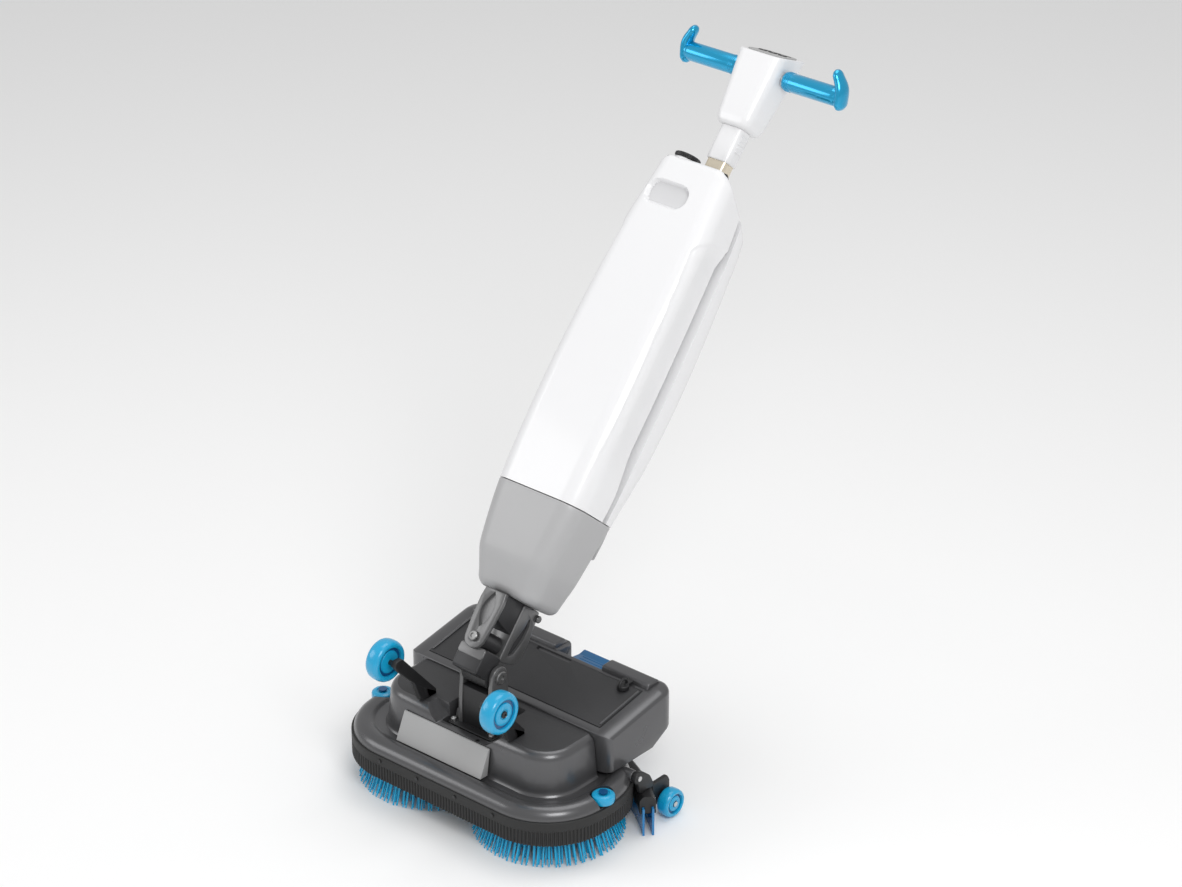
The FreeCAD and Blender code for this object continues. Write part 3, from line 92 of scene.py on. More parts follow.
def material(name, colour, rough, metallic=0.0, coat=0.0, grain=0.0, glow=0.0):
    """A procedural finish: uneven roughness and a fine surface grain."""
    drift = 0.05
    paint = bpy.data.materials.new(name)
    paint.use_nodes = True
    tree = paint.node_tree
    link = tree.links.new
    shader = tree.nodes["Principled BSDF"]
    set_inputs(shader, Base_Color=(*colour, 1.0), Metallic=metallic, Coat_Weight=coat,
        Coat_Roughness=0.08, Transmission_Weight=glow)
    where = tree.nodes.new("ShaderNodeTexCoord")
    cloud = noise(tree, where, 22.0, 5.0)
    spread = tree.nodes.new("ShaderNodeMapRange")
    set_inputs(spread, To_Min=max(rough - drift, 0.02), To_Max=rough + drift)
    link(cloud, spread.inputs["Value"])
    link(spread.outputs["Result"], shader.inputs["Roughness"])
    if grain:
        fine = noise(tree, where, 1500.0, 2.0)
        bump = tree.nodes.new("ShaderNodeBump")
        set_inputs(bump, Strength=grain, Distance=0.0002)
        link(fine, bump.inputs["Height"])
        link(bump.outputs["Normal"], shader.inputs["Normal"])
    return paint


SATIN = material("satin_graphite", (0.105, 0.105, 0.109), 0.29, metallic=0.6, coat=0.2, grain=0.12)
MATTE = material("matte_graphite", (0.03, 0.03, 0.032), 0.55, grain=0.5)
BLACK = material("black_moulding", (0.012, 0.012, 0.013), 0.45, grain=0.3)
RUBBER = material("black_rubber", (0.014, 0.014, 0.014), 0.62, grain=0.4)
PLATE = material("plate_grey", (0.37, 0.37, 0.37), 0.5, grain=0.2)
BASE = material("base_grey", (0.4, 0.4, 0.405), 0.42, coat=0.1, grain=0.15)
WHITE = material("white_gloss", (0.78, 0.78, 0.79), 0.3, coat=0.35)
# Painted shade: a darker grey for the inside of the front tank's finger pocket.
POCKET_SHADE = material("pocket_painted_shade", (0.6, 0.6, 0.61), 0.5)
CASTING = material("neck_casting", (0.135, 0.135, 0.137), 0.3, metallic=0.5, coat=0.2, grain=0.2)
# Painted shade: a much darker copy of the casting colour, for the neck's parts in shadow between other
# parts and for the floors of the fork arm's hollows.
SHADED_CASTING = material("casting_painted_shade", (0.035, 0.035, 0.037), 0.4, metallic=0.4, grain=0.25)
CYAN = material("wheel_cyan", (0.006, 0.34, 0.6), 0.28, coat=0.4)
# Dark blue: painted shade in the wheels' grooves, and the colour of the roller pins.
DEEP_BLUE_AND_SHADE = material("wheel_blue_and_groove_shade", (0.002, 0.07, 0.2), 0.3, coat=0.3)
BRISTLE = material("bristle_blue", (0.006, 0.38, 0.66), 0.38)
PEARL = material("grip_pearl_blue", (0.004, 0.34, 0.6), 0.2, metallic=0.6, coat=0.6)
# Painted shade: a darker copy of the wheels' blue for the pedal, which sits in the housing's shadow.
PEDAL_SHADED_BLUE = material("pedal_blue", (0.001, 0.11, 0.28), 0.35, coat=0.2)
BLADE = material("blade_blue", (0.03, 0.27, 0.62), 0.25, glow=0.3)
STEEL = material("zinc_steel", (0.58, 0.58, 0.58), 0.28, metallic=1.0, grain=0.1)
GUNMETAL = material("dull_steel", (0.26, 0.26, 0.26), 0.36, metallic=0.9, grain=0.1)
TUBE = material("champagne_tube", (0.78, 0.7, 0.56), 0.25, metallic=0.6, grain=0.1)
MOTOR = material("motor_black", (0.02, 0.02, 0.022), 0.4, metallic=0.4)


# ---- shapes

def quarter_turns(steps):
    return [pi / 2 * k / steps for k in range(steps + 1)]


def corner_arc(cx, cy, r, start, steps):
    turn = pi / 2 / steps
    return [(cx + r * cos(start + turn * k), cy + r * sin(start + turn * k)) for k in range(steps + 1)]


def rounded(x0, y0, x1, y1, radii, steps=10):
    """A rectangle with round corners: one radius, or four from front right round to front left."""
    if not isinstance(radii, (tuple, list)):
        radii = (radii,) * 4
    a, b, c, e = (max(r, 0.01) for r in radii)
    quarter = pi / 2
    right = corner_arc(x1 - a, y0 + a, a, -quarter, steps) + corner_arc(x1 - b, y1 - b, b, 0.0, steps)
    left = corner_arc(x0 + c, y1 - c, c, quarter, steps) + corner_arc(x0 + e, y0 + e, e, pi, steps)
    return right + left


def softened(points, radii, steps=5):
    """A polygon with its corners rounded."""
    if not isinstance(radii, (tuple, list)):
        radii = [radii] * len(points)
    out = []
    count = len(points)
    for i, radius in enumerate(radii):
        here = Vector(points[i])
        back = Vector(points[i - 1]) - here
        ahead = Vector(points[(i + 1) % count]) - here
        reach = min(back.length, ahead.length) * 0.48
        half = back.angle(ahead) / 2
        trim = min(radius / tan(half), reach)
        start = here + back.normalized() * trim
        end = here + ahead.normalized() * trim
        for k in range(steps + 1):
            t = k / steps
            out.append(tuple(start * (1 - t) ** 2 + here * 2 * t * (1 - t) + end * t ** 2))
    return out


def shrunk(outline, amount):
    """The outline moved inwards, point by point."""
    count = len(outline)
    area = sum(outline[i - 1][0] * outline[i][1] - outline[i][0] * outline[i - 1][1]
        for i in range(count))
    sign = 1.0 if area > 0 else -1.0
    out = []
    for i in range(count):
        here = Vector(outline[i])
        a = here - Vector(outline[i - 1])
        b = Vector(outline[(i + 1) % count]) - here
        if a.length < 1e-6:
            a = b
        if b.length < 1e-6:
            b = a
        a.normalize()
        b.normalize()
        normal = Vector((-(a.y + b.y), a.x + b.x))
        if normal.length < 1e-6:
            out.append(tuple(here))
            continue
        normal.normalize()
        spread = max(abs(normal.dot(Vector((-a.y, a.x)))), 0.5)
        out.append(tuple(here + normal * sign * amount / spread))
    return out


def skin(loops):
    """Points and faces of a closed shell through equal loops, capped at both ends."""
    count = len(loops[0])
    points = [p for loop in loops for p in loop]
    faces = []
    for i in range(len(loops) - 1):
        for k in range(count):
            m = (k + 1) % count
            faces.append((i * count + k, i * count + m, (i + 1) * count + m, (i + 1) * count + k))
    faces.append(tuple(reversed(range(count))))
    last = (len(loops) - 1) * count
    faces.append(tuple(range(last, last + count)))
    return points, faces


LEANING = ("link", "column", "recovery", "cap", "tank_release", "handle")


def add(name, data):
    obj = bpy.data.objects.new(name, data)
    scene.collection.objects.link(obj)
    return obj


def piece(name, parts, body, paint, nodes=(), place=None, crease=32.0):
    """One object from a list of (points, faces) shells, in its body's own local frame."""
    place = place or (column if body in LEANING else deck)
    points = []
    faces = []
    for shell_points, shell_faces in parts:
        base = len(points)
        points += [place(*p) for p in shell_points]
        faces += [tuple(base + i for i in face) for face in shell_faces]
    mesh = bpy.data.meshes.new(name)
    mesh.from_pydata(points, [], faces)
    mesh.validate()
    obj = add(name, mesh)
    mesh.materials.append(paint)
    fix_normals(mesh)
    shade(mesh, crease)
    if body:
        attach(obj, body)
    if nodes:
        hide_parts(*nodes)
    return obj


def shade(mesh, crease):
    mesh.shade_smooth()
    mesh.set_sharp_from_angle(angle=radians(crease))


def fix_normals(mesh):
    """Join the points that meet at a shell's poles, and turn every face outwards."""
    work = bmesh.new()
    work.from_mesh(mesh)
    bmesh.ops.remove_doubles(work, verts=work.verts, dist=1e-7)
    bmesh.ops.recalc_face_normals(work, faces=work.faces)
    work.to_mesh(mesh)
    work.free()


def carve(obj, cutters, crease=32.0, edge=0.0):
    """Cut closed shapes out of a piece, and break the new edges if asked."""
    for tool in cutters:
        cut = obj.modifiers.new("carve", "BOOLEAN")
        cut.operation = "DIFFERENCE"
        cut.solver = "EXACT"
        cut.use_self = True
        cut.object = tool
    if edge:
        soft = obj.modifiers.new("edge", "BEVEL")
        soft.width = edge / 1000
        soft.segments = 2
        soft.limit_method = "ANGLE"
        soft.angle_limit = radians(40)
        soft.use_clamp_overlap = True
    graph = bpy.context.evaluated_depsgraph_get()
    made = bpy.data.meshes.new_from_object(obj.evaluated_get(graph))
    obj.modifiers.clear()
    obj.data = made
    shade(made, crease)
    for tool in cutters:
        bpy.data.objects.remove(tool)


def cutter(shell, place=deck):
    return piece("cutter", [shell], None, BLACK, place=place)


def bore(p, q, radius, low, high, place=deck, plane="x", steps=48):
    """A round cutter along one axis."""
    return cutter(slab(disc(p, q, radius, steps), low, high, 0.1, plane), place)


def span(sign, a, b):
    """Two distances from the middle as low and high x on one side."""
    return sorted((sign * a, sign * b))


def slab(outline, low, high, edge=1.2, plane="x", steps=3):
    """An outline extruded along one axis with rounded edges."""
    ends = [(edge * (1 - sin(a)), edge * (1 - cos(a))) for a in quarter_turns(steps)]
    rows = [(inset, low + depth) for inset, depth in ends]
    rows += [(inset, high - depth) for inset, depth in reversed(ends)]
    loops = []
    for inset, at in rows:
        ring = shrunk(outline, inset) if inset > 1e-6 else outline
        if plane == "x":
            loops.append([(at, p, q) for p, q in ring])
        elif plane == "y":
            loops.append([(p, at, q) for p, q in ring])
        else:
            loops.append([(p, q, at) for p, q in ring])
    return skin(loops)


def disc(cx, cy, r, steps=48):
    return [(cx + r * cos(tau * k / steps), cy + r * sin(tau * k / steps)) for k in range(steps)]


def lathe(profile, centre, axis="z", steps=72):
    """Turn (radius, distance along the axis) points round an axis through a centre."""
    loops = []
    for radius, along in profile:
        ring = []
        for k in range(steps):
            a = tau * k / steps
            u = radius * cos(a)
            v = radius * sin(a)
            if axis == "z":
                ring.append((centre[0] + u, centre[1] + v, centre[2] + along))
            elif axis == "x":
                ring.append((centre[0] + along, centre[1] + u, centre[2] + v))
            else:
                ring.append((centre[0] + u, centre[1] + along, centre[2] + v))
        loops.append(ring)
    return skin(loops)


def stack(rows, steps=10):
    """A shell through round-cornered rectangles: height, x0, y0, x1, y1, corner radius or radii."""
    return skin([[(x, y, row[0]) for x, y in rounded(*row[1:6], steps=steps)] for row in rows])


def prism(low, high, *rectangle):
    return stack([(z, *rectangle) for z in (low, high)])


def ease(t):
    t = min(max(t, 0.0), 1.0)
    return t * t * (3 - 2 * t)


def blend_rows(rows, height):
    """Catmull-Rom values of a table at a height."""
    i = 0
    while i < len(rows) - 2 and height > rows[i + 1][0]:
        i += 1
    t = (height - rows[i][0]) / (rows[i + 1][0] - rows[i][0])
    t = min(max(t, 0.0), 1.0)
    before = rows[max(i - 1, 0)]
    after = rows[min(i + 2, len(rows) - 1)]
    values = []
    for k in range(1, len(rows[0])):
        p0, p1, p2, p3 = before[k], rows[i][k], rows[i + 1][k], after[k]
        values.append(0.5 * (2 * p1 + (p2 - p0) * t + (2 * p0 - 5 * p1 + 4 * p2 - p3) * t * t
            + (3 * p1 - p0 - 3 * p2 + p3) * t ** 3))
    return values


# ---- deck

BASE_W, BASE_D, BASE_R = 225.0, 116.0, 103.0


def deck_loop(inset, z, steps=26):
    return [(x, y, z) for x, y in rounded(inset - BASE_W, inset - BASE_D, BASE_W - inset,
        BASE_D - inset, BASE_R - inset, steps)]


def make_pan():
    """The pan with its rounded bead, a groove inside the bead and a pocket for each roller."""
    profile = ((8, 91), (8, 70), (1.2, 70), (0, 71.2), (0, 81), (1.0, 86), (3.6, 91), (7.6, 94.8),
        (12.6, 97.2), (18, 98.2), (23.5, 97.6), (28, 95.6), (31.2, 92.8), (34, 91.4), (38, 91.2),
        (60, 91.2))
    pan = piece("pan", [skin([deck_loop(t, z) for t, z in profile])], "deck", SATIN, ["deck_base"])
    cutters = []
    pocket = ((0, 82.2), (19.2, 82.2), (20.5, 120), (0, 120))
    shaft = ((0, 60), (15.5, 60), (15.5, 120), (0, 120))
    for sign in SIGNS:
        for profile, x in ((pocket, ROLLER_X), (shaft, BRUSH_X)):
            cutters.append(cutter(lathe(profile, (sign * x, 0, 0), steps=48)))
    carve(pan, cutters)
    lugs = [slab(disc(*LIFT_HINGE, 8.4), sign * 203 - 9.8, sign * 203 + 9.8, 1.0) for sign in SIGNS]
    lug = piece("pan_lugs", lugs, "deck", SATIN)
    carve(lug, [bore(*LIFT_HINGE, 4.1, -240, 240)])
    ring = ((16.1, 76), (26, 76), (26, 92), (16.1, 92))
    bosses = [closed_lathe(ring, (sign * BRUSH_X, 0, 0), "z", 64) for sign in SIGNS]
    piece("spindle_bosses", bosses, "deck", SATIN)
    shelves = [slab(disc(sign * 211, 0, 11), 76.2, 81.9, 0.6, "z") for sign in SIGNS]
    piece("roller_shelves", shelves, "deck", SATIN)


def make_skirt():
    """The rubber skirt: a plain collar above and close vertical ribs below."""
    arc = pi / 2 * BASE_R
    total = 4 * (BASE_W + BASE_D - 2 * BASE_R) + 4 * arc
    ribs = 214
    per_rib = 6
    count = ribs * per_rib
    marks = [(*around(total * i / count, arc), i % per_rib) for i in range(count)]
    rows = ((81, -1.0, 0), (81, 2.2, 0), (80.2, 3.0, 0), (67.0, 3.0, 0), (65.6, 2.2, 0.5),
        (64.6, 1.4, 1), (45.0, 1.4, 1), (42.2, 1.2, 1), (41.2, 0.0, 0), (41.0, -3.6, 0),
        (69.5, -3.6, 0), (69.5, -1.0, 0))
    loops = []
    for z, out, ribbed in rows:
        loop = []
        for x, y, nx, ny, phase in marks:
            push = out + ribbed * (1.5 if phase in (1, 2, 3) else 0.0)
            loop.append((x + nx * push, y + ny * push, z))
        loops.append(loop)
    loops.append(loops[0])
    points, faces = skin(loops)
    piece("skirt", [(points, faces[:-2])], "deck", RUBBER, ["splash_skirt"], crease=25)


def around(s, arc):
    """Point and outward normal at a distance round the deck's outline."""
    reach_x, reach_y = BASE_W - BASE_R, BASE_D - BASE_R
    x, y = -reach_x, -reach_y
    for k, (way_x, way_y) in enumerate(((1, 0), (0, 1), (-1, 0), (0, -1))):
        length = 2 * (reach_x if way_x else reach_y)
        if s <= length:
            return x + BASE_R * way_y + way_x * s, y - BASE_R * way_x + way_y * s, way_y, -way_x
        s -= length
        x += way_x * length
        y += way_y * length
        if s <= arc:
            break
        s -= arc
    a = (k - 1) * pi / 2 + s / BASE_R
    return x + BASE_R * cos(a), y + BASE_R * sin(a), cos(a), sin(a)


def make_cover():
    """The front cover: soft shoulders, a matte top, a flared mouth and the neck's recess."""
    half, front_y, rear_y = 175.0, -68.0, 36.0
    table = [(91.4, -3.0), (92.6, -1.4), (95.5, 0.2), (100, 0.9), (120, 3.0), (142, 5.2)]
    for a in quarter_turns(7)[1:]:
        table.append((143 + 14.8 * sin(a), 5.4 + 14 * (1 - cos(a))))
    rows = []
    for z, inset in table:
        rows.append((z, inset - half, front_y + inset, half - inset, rear_y - 0.1,
            (58 - inset, 3, 3, 58 - inset)))
    cover = piece("front_cover", [stack(rows, 14)], "deck", SATIN, ["deck_cover"])
    recess = cutter(stack(((128, -48, -52, 48, 22, 5), (151, -48, -52, 48, 22, 5),
        (158.2, -50, -54, 50, 24, 6), (175, -60, -64, 60, 34, 8))))
    mouth_outline = softened([(-48, 138), (48, 138), (76, 160), (90, 176), (-90, 176), (-76, 160)],
        [4, 4, 3, 1, 1, 3])
    mouth = cutter(slab(mouth_outline, -100, -34, 0.1, "y"))
    motors = [cutter(lathe(((0, 80), (30, 80), (30, 143), (0, 143)), (s * BRUSH_X, 0, 0), steps=40))
        for s in SIGNS]
    carve(cover, [recess, mouth] + motors, edge=0.8)
    cover.data.materials.append(MATTE)
    top = deck(0, 0, 157.3).z
    for face in cover.data.polygons:
        if face.center.z > top and face.normal.z > 0.9:
            face.material_index = 1
    hole = [lathe(((0, 0), (3.4, 0), (3.4, 0.5), (2.6, 0.8), (2.2, -2.5), (0, -2.5)),
        (30, -60.5, 138.0), steps=24)]
    piece("cover_drain", hole, "deck", BLACK)


def top_height(y):
    """Height of the rear housing's rising top."""
    return min(161.0 + 23.0 / 124.0 * (y - 36.0), 184.0)


def make_housing():
    """The rear housing with its rising top, the seat of the lid and the notch of the pedal."""
    loops = []
    bend = 24.0
    stations = [(195 - bend + bend * sin(a), bend * (1 - cos(a))) for a in quarter_turns(8)]
    spots = [(-x, i) for x, i in reversed(stations)] + [(x, i) for x, i in stations]
    for x, inset in spots:
        drop = inset * 0.42
        outline = softened([(36.3 + inset * 0.45, 99.2 + drop * 0.3),
            (146 - inset * 0.6, 99.2 + drop * 0.3), (186 - inset, 118 + drop * 0.2),
            (186 - inset, 184 - drop), (160, 184 - drop), (36.3 + inset * 0.45, 161 - drop * 0.55)],
            [2, 6, 8, 11, 20, 2], 6)
        loops.append([(x, y, z) for y, z in outline])
    housing = piece("rear_housing_shell", [skin(loops)], "deck", SATIN, ["rear_housing"])
    seat_outline = [(49.2, top_height(49.2) - 3.9), (144.8, top_height(144.8) - 3.9), (144.8, 200),
        (49.2, 200)]
    seat = cutter(slab(softened(seat_outline, [0.4] * 4), -166.8, 166.8, 0.2))
    room = cutter(prism(102.5, 190, -158, 56, 158, 138, 8))
    notch = cutter(stack(((134, -6, 152.2, 82, 230, 4), (176, -6, 152.2, 82, 230, 4),
        (186, -9, 149.5, 85, 230, 5))))
    trunnion = bore(*PEDAL_HINGE, 3.15, -14, 90)
    carve(housing, [seat, room, notch, trunnion], edge=0.8)
    rim = []
    for start, stop in ((-172.0, -7.5), (83.5, 172.0)):
        outline = softened([(148.2, 179), (151, 190), (173, 190.5), (181, 180)], [2, 5, 8, 3], 6)
        rim.append(slab(outline, start, stop, 2.4, "x", 5))
    piece("lid_rear_rim", rim, "deck", SATIN)


def make_battery_lid():
    """The textured lid with its raised side strips and finger scoop."""
    def at(y, rise):
        return (y, top_height(y) + rise)
    outline = softened([at(50.2, -3.4), at(143.8, -3.4), at(143.8, 0.9), at(50.2, 0.9)], 0.8)
    lid = piece("battery_lid_panel", [slab(outline, -165.8, 165.8, 1.0)], "lid", MATTE, ["battery_lid"])
    scoop = cutter(slab(softened([(-30, 168), (30, 168), (36, 200), (-36, 200)], 4), 136.0, 160.0, 2.0,
        "y"))
    carve(lid, [scoop], edge=0.5)
    strips = []
    for sign in SIGNS:
        strip = softened([at(54, 0.5), at(140, 0.5), at(140, 2.8), at(54, 2.8)], 1.0)
        strips.append(slab(strip, sign * 163 - 1.5, sign * 163 + 1.5, 0.9))
    piece("lid_strips", strips, "lid", SATIN)


def make_latch():
    """The turning latch with its finger loop."""
    x, y = 140.0, 132.0
    low = top_height(y) + 2.2
    parts = [lathe(((0, 0), (8.6, 0), (9, 0.6), (9, 5.6), (8, 6.6), (0, 6.8)), (x, y, low), steps=40),
        slab(rounded(x - 5, y, x + 5, y + 24, 2.5, 4), low + 3.0, low + 7.0, 0.8, "z")]
    finger_loop = [(x, y - 8.0 * cos(a), low + 5.5 + 9.0 * sin(a))
        for a in [pi * k / 16 for k in range(17)]]
    parts.append(sweep(finger_loop, [2.2] * 17, [2.2] * 17))
    piece("latch", parts, "latch", BLACK, ["lid_latch"])


def sweep(path, half_a, half_b, side_axis=(1, 0, 0), steps=12):
    """An elliptical bar along a path, with its two half widths at each point."""
    count = len(path)
    loops = []
    side = Vector(side_axis)
    for i, here in enumerate(path):
        ahead = Vector(path[min(i + 1, count - 1)]) - Vector(path[max(i - 1, 0)])
        ahead.normalize()
        across = (side - ahead * side.dot(ahead)).normalized()
        up = ahead.cross(across)
        ring = []
        for k in range(steps):
            a = tau * k / steps
            offset = across * half_a[i] * cos(a) + up * half_b[i] * sin(a)
            ring.append(tuple(Vector(here) + offset))
        loops.append(ring)
    return skin(loops)


def make_label_plate():
    outline = softened([(-86.5, 95.2), (-70.4, 95.2), (-64.0, 137.2), (-67.4, 137.2)],
        [1.2, 1.0, 1.0, 1.2])
    piece("label_panel", [slab(outline, -107.8, 57.8, 0.9)], "deck", PLATE, ["label_plate"])


def make_pedal():
    """The lift pedal with grip ridges across its tread."""
    outline = softened([(155, 150), (166, 149), (192, 152), (206, 156), (207, 161), (194, 158.5),
        (176, 161), (161, 169), (154, 164)], [2, 4, 8, 2, 2, 9, 9, 3, 2])
    parts = [slab(outline, 1.2, 74.8, 2.4), slab(disc(*PEDAL_HINGE, 2.95, 24), -9.8, 85.8, 0.6)]
    for k in range(2):
        y = 183 + 8 * k
        z = 160.0 - k
        parts.append(slab(softened([(y - 1.4, z - 2.0), (y + 1.4, z - 2.0), (y + 0.8, z + 0.5),
            (y - 0.8, z + 0.5)], 0.4, 2), 12, 64, 0.6))
    # The tread takes the darker pedal blue: painted shade.
    piece("pedal_tread", parts, "pedal", PEDAL_SHADED_BLUE, ["lift_pedal"])


# ---- brushes

def make_bristles(name, sign):
    """Stout tapered filaments in rings, the outer rows splayed out to the ring's edge."""
    random.seed(11 + sign)
    cx = sign * BRUSH_X
    points = []
    faces = []
    rows = ((95, 111.5, 88), (88, 105, 76), (78, 92, 56), (64, 74, 44), (50, 57, 34), (38, 41, 24))
    for top_r, tip_r, count in rows:
        for k in range(count):
            a = tau * (k + 0.25 * random.random()) / count
            tip_a = a + random.uniform(-0.02, 0.02)
            r0 = top_r + random.uniform(-1.0, 0.6)
            r1 = tip_r + random.uniform(-1.6, 0.2)
            z1 = random.uniform(0.1, 2.0)
            thick = random.uniform(1.75, 2.0)
            add_strand(points, faces, cx, a, tip_a, r0, r1, 46.5, z1, thick)
    piece("bristles_" + name, [(points, faces)], "brush_" + name, BRISTLE, ["bristles_" + name],
        crease=60)


def add_strand(points, faces, cx, a0, a1, r0, r1, z0, z1, thick):
    """One filament: a bent cone of four short lengths."""
    base = len(points)
    steps = 4
    sides = 6
    for i in range(steps + 1):
        t = i / steps
        a = a0 + (a1 - a0) * t
        r = r0 + (r1 - r0) * (t ** 1.25)
        z = z0 + (z1 - z0) * t
        width = thick * (1.0 - 0.4 * t)
        for k in range(sides):
            b = tau * k / sides
            rr = r + width * cos(b)
            tangent = width * sin(b)
            points.append((cx + rr * cos(a) - tangent * sin(a), rr * sin(a) + tangent * cos(a), z))
    for i in range(steps):
        for k in range(sides):
            m = (k + 1) % sides
            low = base + i * sides
            faces.append((low + k, low + m, low + sides + m, low + sides + k))
    faces.append(tuple(base + k for k in range(sides)))
    faces.append(tuple(base + steps * sides + k for k in reversed(range(sides))))


def make_brush_disc(name, sign):
    profile = ((0, 46.2), (97, 46.2), (98, 47.2), (98, 53), (96.6, 54.6), (60, 56), (30, 56), (17, 60),
        (15.6, 65), (5.9, 65.4), (5.9, 96.6), (0, 96.8))
    piece("brush_plate_" + name, [lathe(profile, (sign * BRUSH_X, 0, 0), steps=96)], "brush_" + name,
        BLACK, ["brush_disc_" + name])


# ---- wheels

def make_wheel(name, body, node, centre, r, width, sign):
    """A moulded wheel: soft tread, a groove painted dark blue as shade, domed hub and a recessed
    centre.
    """
    h = width / 2
    tread = [(r * 0.7, -h + 0.9), (r * 0.74, -h + 0.15), (r * 0.84, -h), (r * 0.92, -h * 0.88),
        (r * 0.975, -h * 0.62), (r - 0.15, -h * 0.3), (r - 0.05, 0), (r - 0.15, h * 0.3),
        (r * 0.975, h * 0.62), (r * 0.92, h * 0.88), (r * 0.84, h), (r * 0.74, h - 0.15),
        (r * 0.7, h - 0.9), (r * 0.68, h - 4.2)]
    ring = tread + [(r * 0.68, -h + 4.2)]
    piece(name, [closed_lathe(ring, centre), hub_shell(r, h, centre, sign)], body, CYAN, [node],
        crease=38)
    # The groove ring is painted dark blue: painted shade in the recess between tread and hub.
    groove = [(r * 0.52, -h + 4.0), (r * 0.7, -h + 4.0), (r * 0.7, h - 4.0), (r * 0.52, h - 4.0)]
    piece(name + "_groove", [closed_lathe(groove, centre)], body, DEEP_BLUE_AND_SHADE)


def hub_shell(r, h, centre, sign):
    """The hub, with its domed side outwards."""
    ring = [(AXLE_R, -h + 2.0), (r * 0.3, -h + 1.8), (r * 0.52, -h + 2.6), (r * 0.56, -h + 4.4),
        (r * 0.56, h - 4.4), (r * 0.53, h - 2.0), (r * 0.44, h - 1.0), (r * 0.25, h - 0.8),
        (r * 0.22, h - 1.4), (r * 0.2, h - 3.0), (AXLE_R, h - 3.2)]
    return closed_lathe([(rad, sign * along) for rad, along in ring], centre)


def closed_lathe(ring, centre, axis="x", steps=72):
    """A lathe whose profile closes on itself, such as a tyre."""
    points, faces = lathe(list(ring) + [ring[0]], centre, axis, steps)
    return points, faces[:-2]


def make_roller(name, sign):
    profile = [(AXLE_R, 84.2), (14, 84.2), (16, 85.2), (17, 87.2), (17, 93), (16.4, 95.6), (14.4, 97.4),
        (11.5, 98.2), (9.4, 98.3), (8.9, 97.0), (6.0, 96.8), (AXLE_R, 96.8)]
    ring = closed_lathe(profile, (sign * ROLLER_X, 0, 0), "z", 64)
    piece("guard_roller_" + name, [ring], "roller_" + name, CYAN, ["corner_roller_" + name])


def make_wheel_arm(name, sign):
    """A flat arm with a foot on the cover and an eye for the axle."""
    outline = softened([(-112, 239), (-108, 246), (-95, 246), (-58, 203), (-26, 166), (-26, 158.1),
        (-58, 158.1), (-72, 195), (-104, 228)], [4, 4, 6, 8, 3, 1, 6, 8, 4])
    inner = sign * 86.0
    arm = piece("carry_arm_" + name, [slab(outline, inner - 4.9, inner + 4.9, 1.6)], "deck", BLACK,
        ["wheel_arm_" + name])
    carve(arm, [bore(*CARRY_AXLE, 4.0, inner - 20, inner + 20, steps=32)])


def make_carry_axles():
    """The two axles of the carrying wheels, each with a small dark head."""
    profile = ((0, 81.2), (3.9, 81.2), (3.9, 119.4), (5.2, 119.4), (5.2, 121.2), (4.0, 122.3),
        (2.2, 122.3), (2.2, 120.8), (0, 120.8))
    axles = [lathe([(r, sign * a) for r, a in profile], (0, *CARRY_AXLE), "x", 32) for sign in SIGNS]
    piece("carry_axles", axles, "deck", BLACK, ["wheel_axles"])


# ---- squeegee

SQ_R, SQ_Y = 356.0, -191.0


def arc_shell(section, half, steps=72):
    """A section of (radius, height) points swept round the squeegee's arc between half widths."""
    reach = asin(half / SQ_R)
    loops = []
    for i in range(steps + 1):
        a = pi / 2 - reach + 2 * reach * i / steps
        loops.append([(r * cos(a), SQ_Y + r * sin(a), z) for r, z in section])
    return skin(loops)


def make_squeegee():
    """Carrier with its clamped blades, suction mouth, end brackets and arms."""
    section = softened([(SQ_R + r, z) for r, z in ((-12, 34.2), (-9.2, 34.2), (-9.2, 45), (-4.6, 45),
        (-4.6, 34.2), (4.6, 34.2), (4.6, 45), (9.2, 45), (9.2, 34.2), (12, 34.2), (12, 55), (7, 61.8),
        (-7, 61.8), (-12, 55))], [0.6] * 10 + [2, 4, 4, 2], 3)
    parts = [arc_shell(section, 235)]
    spout = [(13, 40), (16.4, 40), (17, 42), (17, 70), (16.2, 72.5), (17, 74.2), (16.4, 75.8),
        (13.4, 76), (13, 75)]
    parts.append(closed_lathe(spout, (0, SQ_Y + SQ_R, 0), "z", 56))
    for sign in SIGNS:
        inner = sign * 213.0
        outline = softened([(80, 36), (122, 34), (124, 16), (136, 10.4), (148, 16), (148, 50),
            (143, 59.6), (80, 59.6)], [4, 4, 5, 7, 5, 6, 5, 6])
        parts.append(slab(outline, inner - 3, inner + 3, 0.9))
        for k in range(3):
            y = 92 + 9 * k
            parts.append(slab(rounded(y - 1.5, 30, y + 1.5, 62, 1, 3), inner - 4.2, inner + 4.2, 0.6))
    piece("squeegee_carrier", parts, "squeegee", BLACK, ["squeegee_body"])
    for label, offset in (("front", -7.0), ("rear", 7.0)):
        rear, front = SQ_R + offset - 1.6, SQ_R + offset + 1.6
        blade = softened([(rear, 0.2), (front, 0.2), (front, 44.6), (rear, 44.6)], 0.5, 2)
        piece("wiper_" + label, [arc_shell(blade, 239.6)], "squeegee", BLADE, ["blade_" + label])
    arms = []
    for sign in SIGNS:
        middle = sign * 218.0
        outline = softened([(62.6, 90), (66, 97), (74, 99.4), (84, 95), (97, 84), (104, 70),
            (104, 62.1), (76, 62.1), (70, 80), (64, 84)], [5, 5, 6, 8, 10, 6, 2, 2, 5, 4])
        arms.append(slab(outline, middle - 3.9, middle + 3.9, 1.4))
    arm = piece("lift_arms", arms, "squeegee", BLACK, ["squeegee_arms"])
    carve(arm, [bore(*LIFT_HINGE, 3.95, -240, 240, steps=32)])


# ---- neck

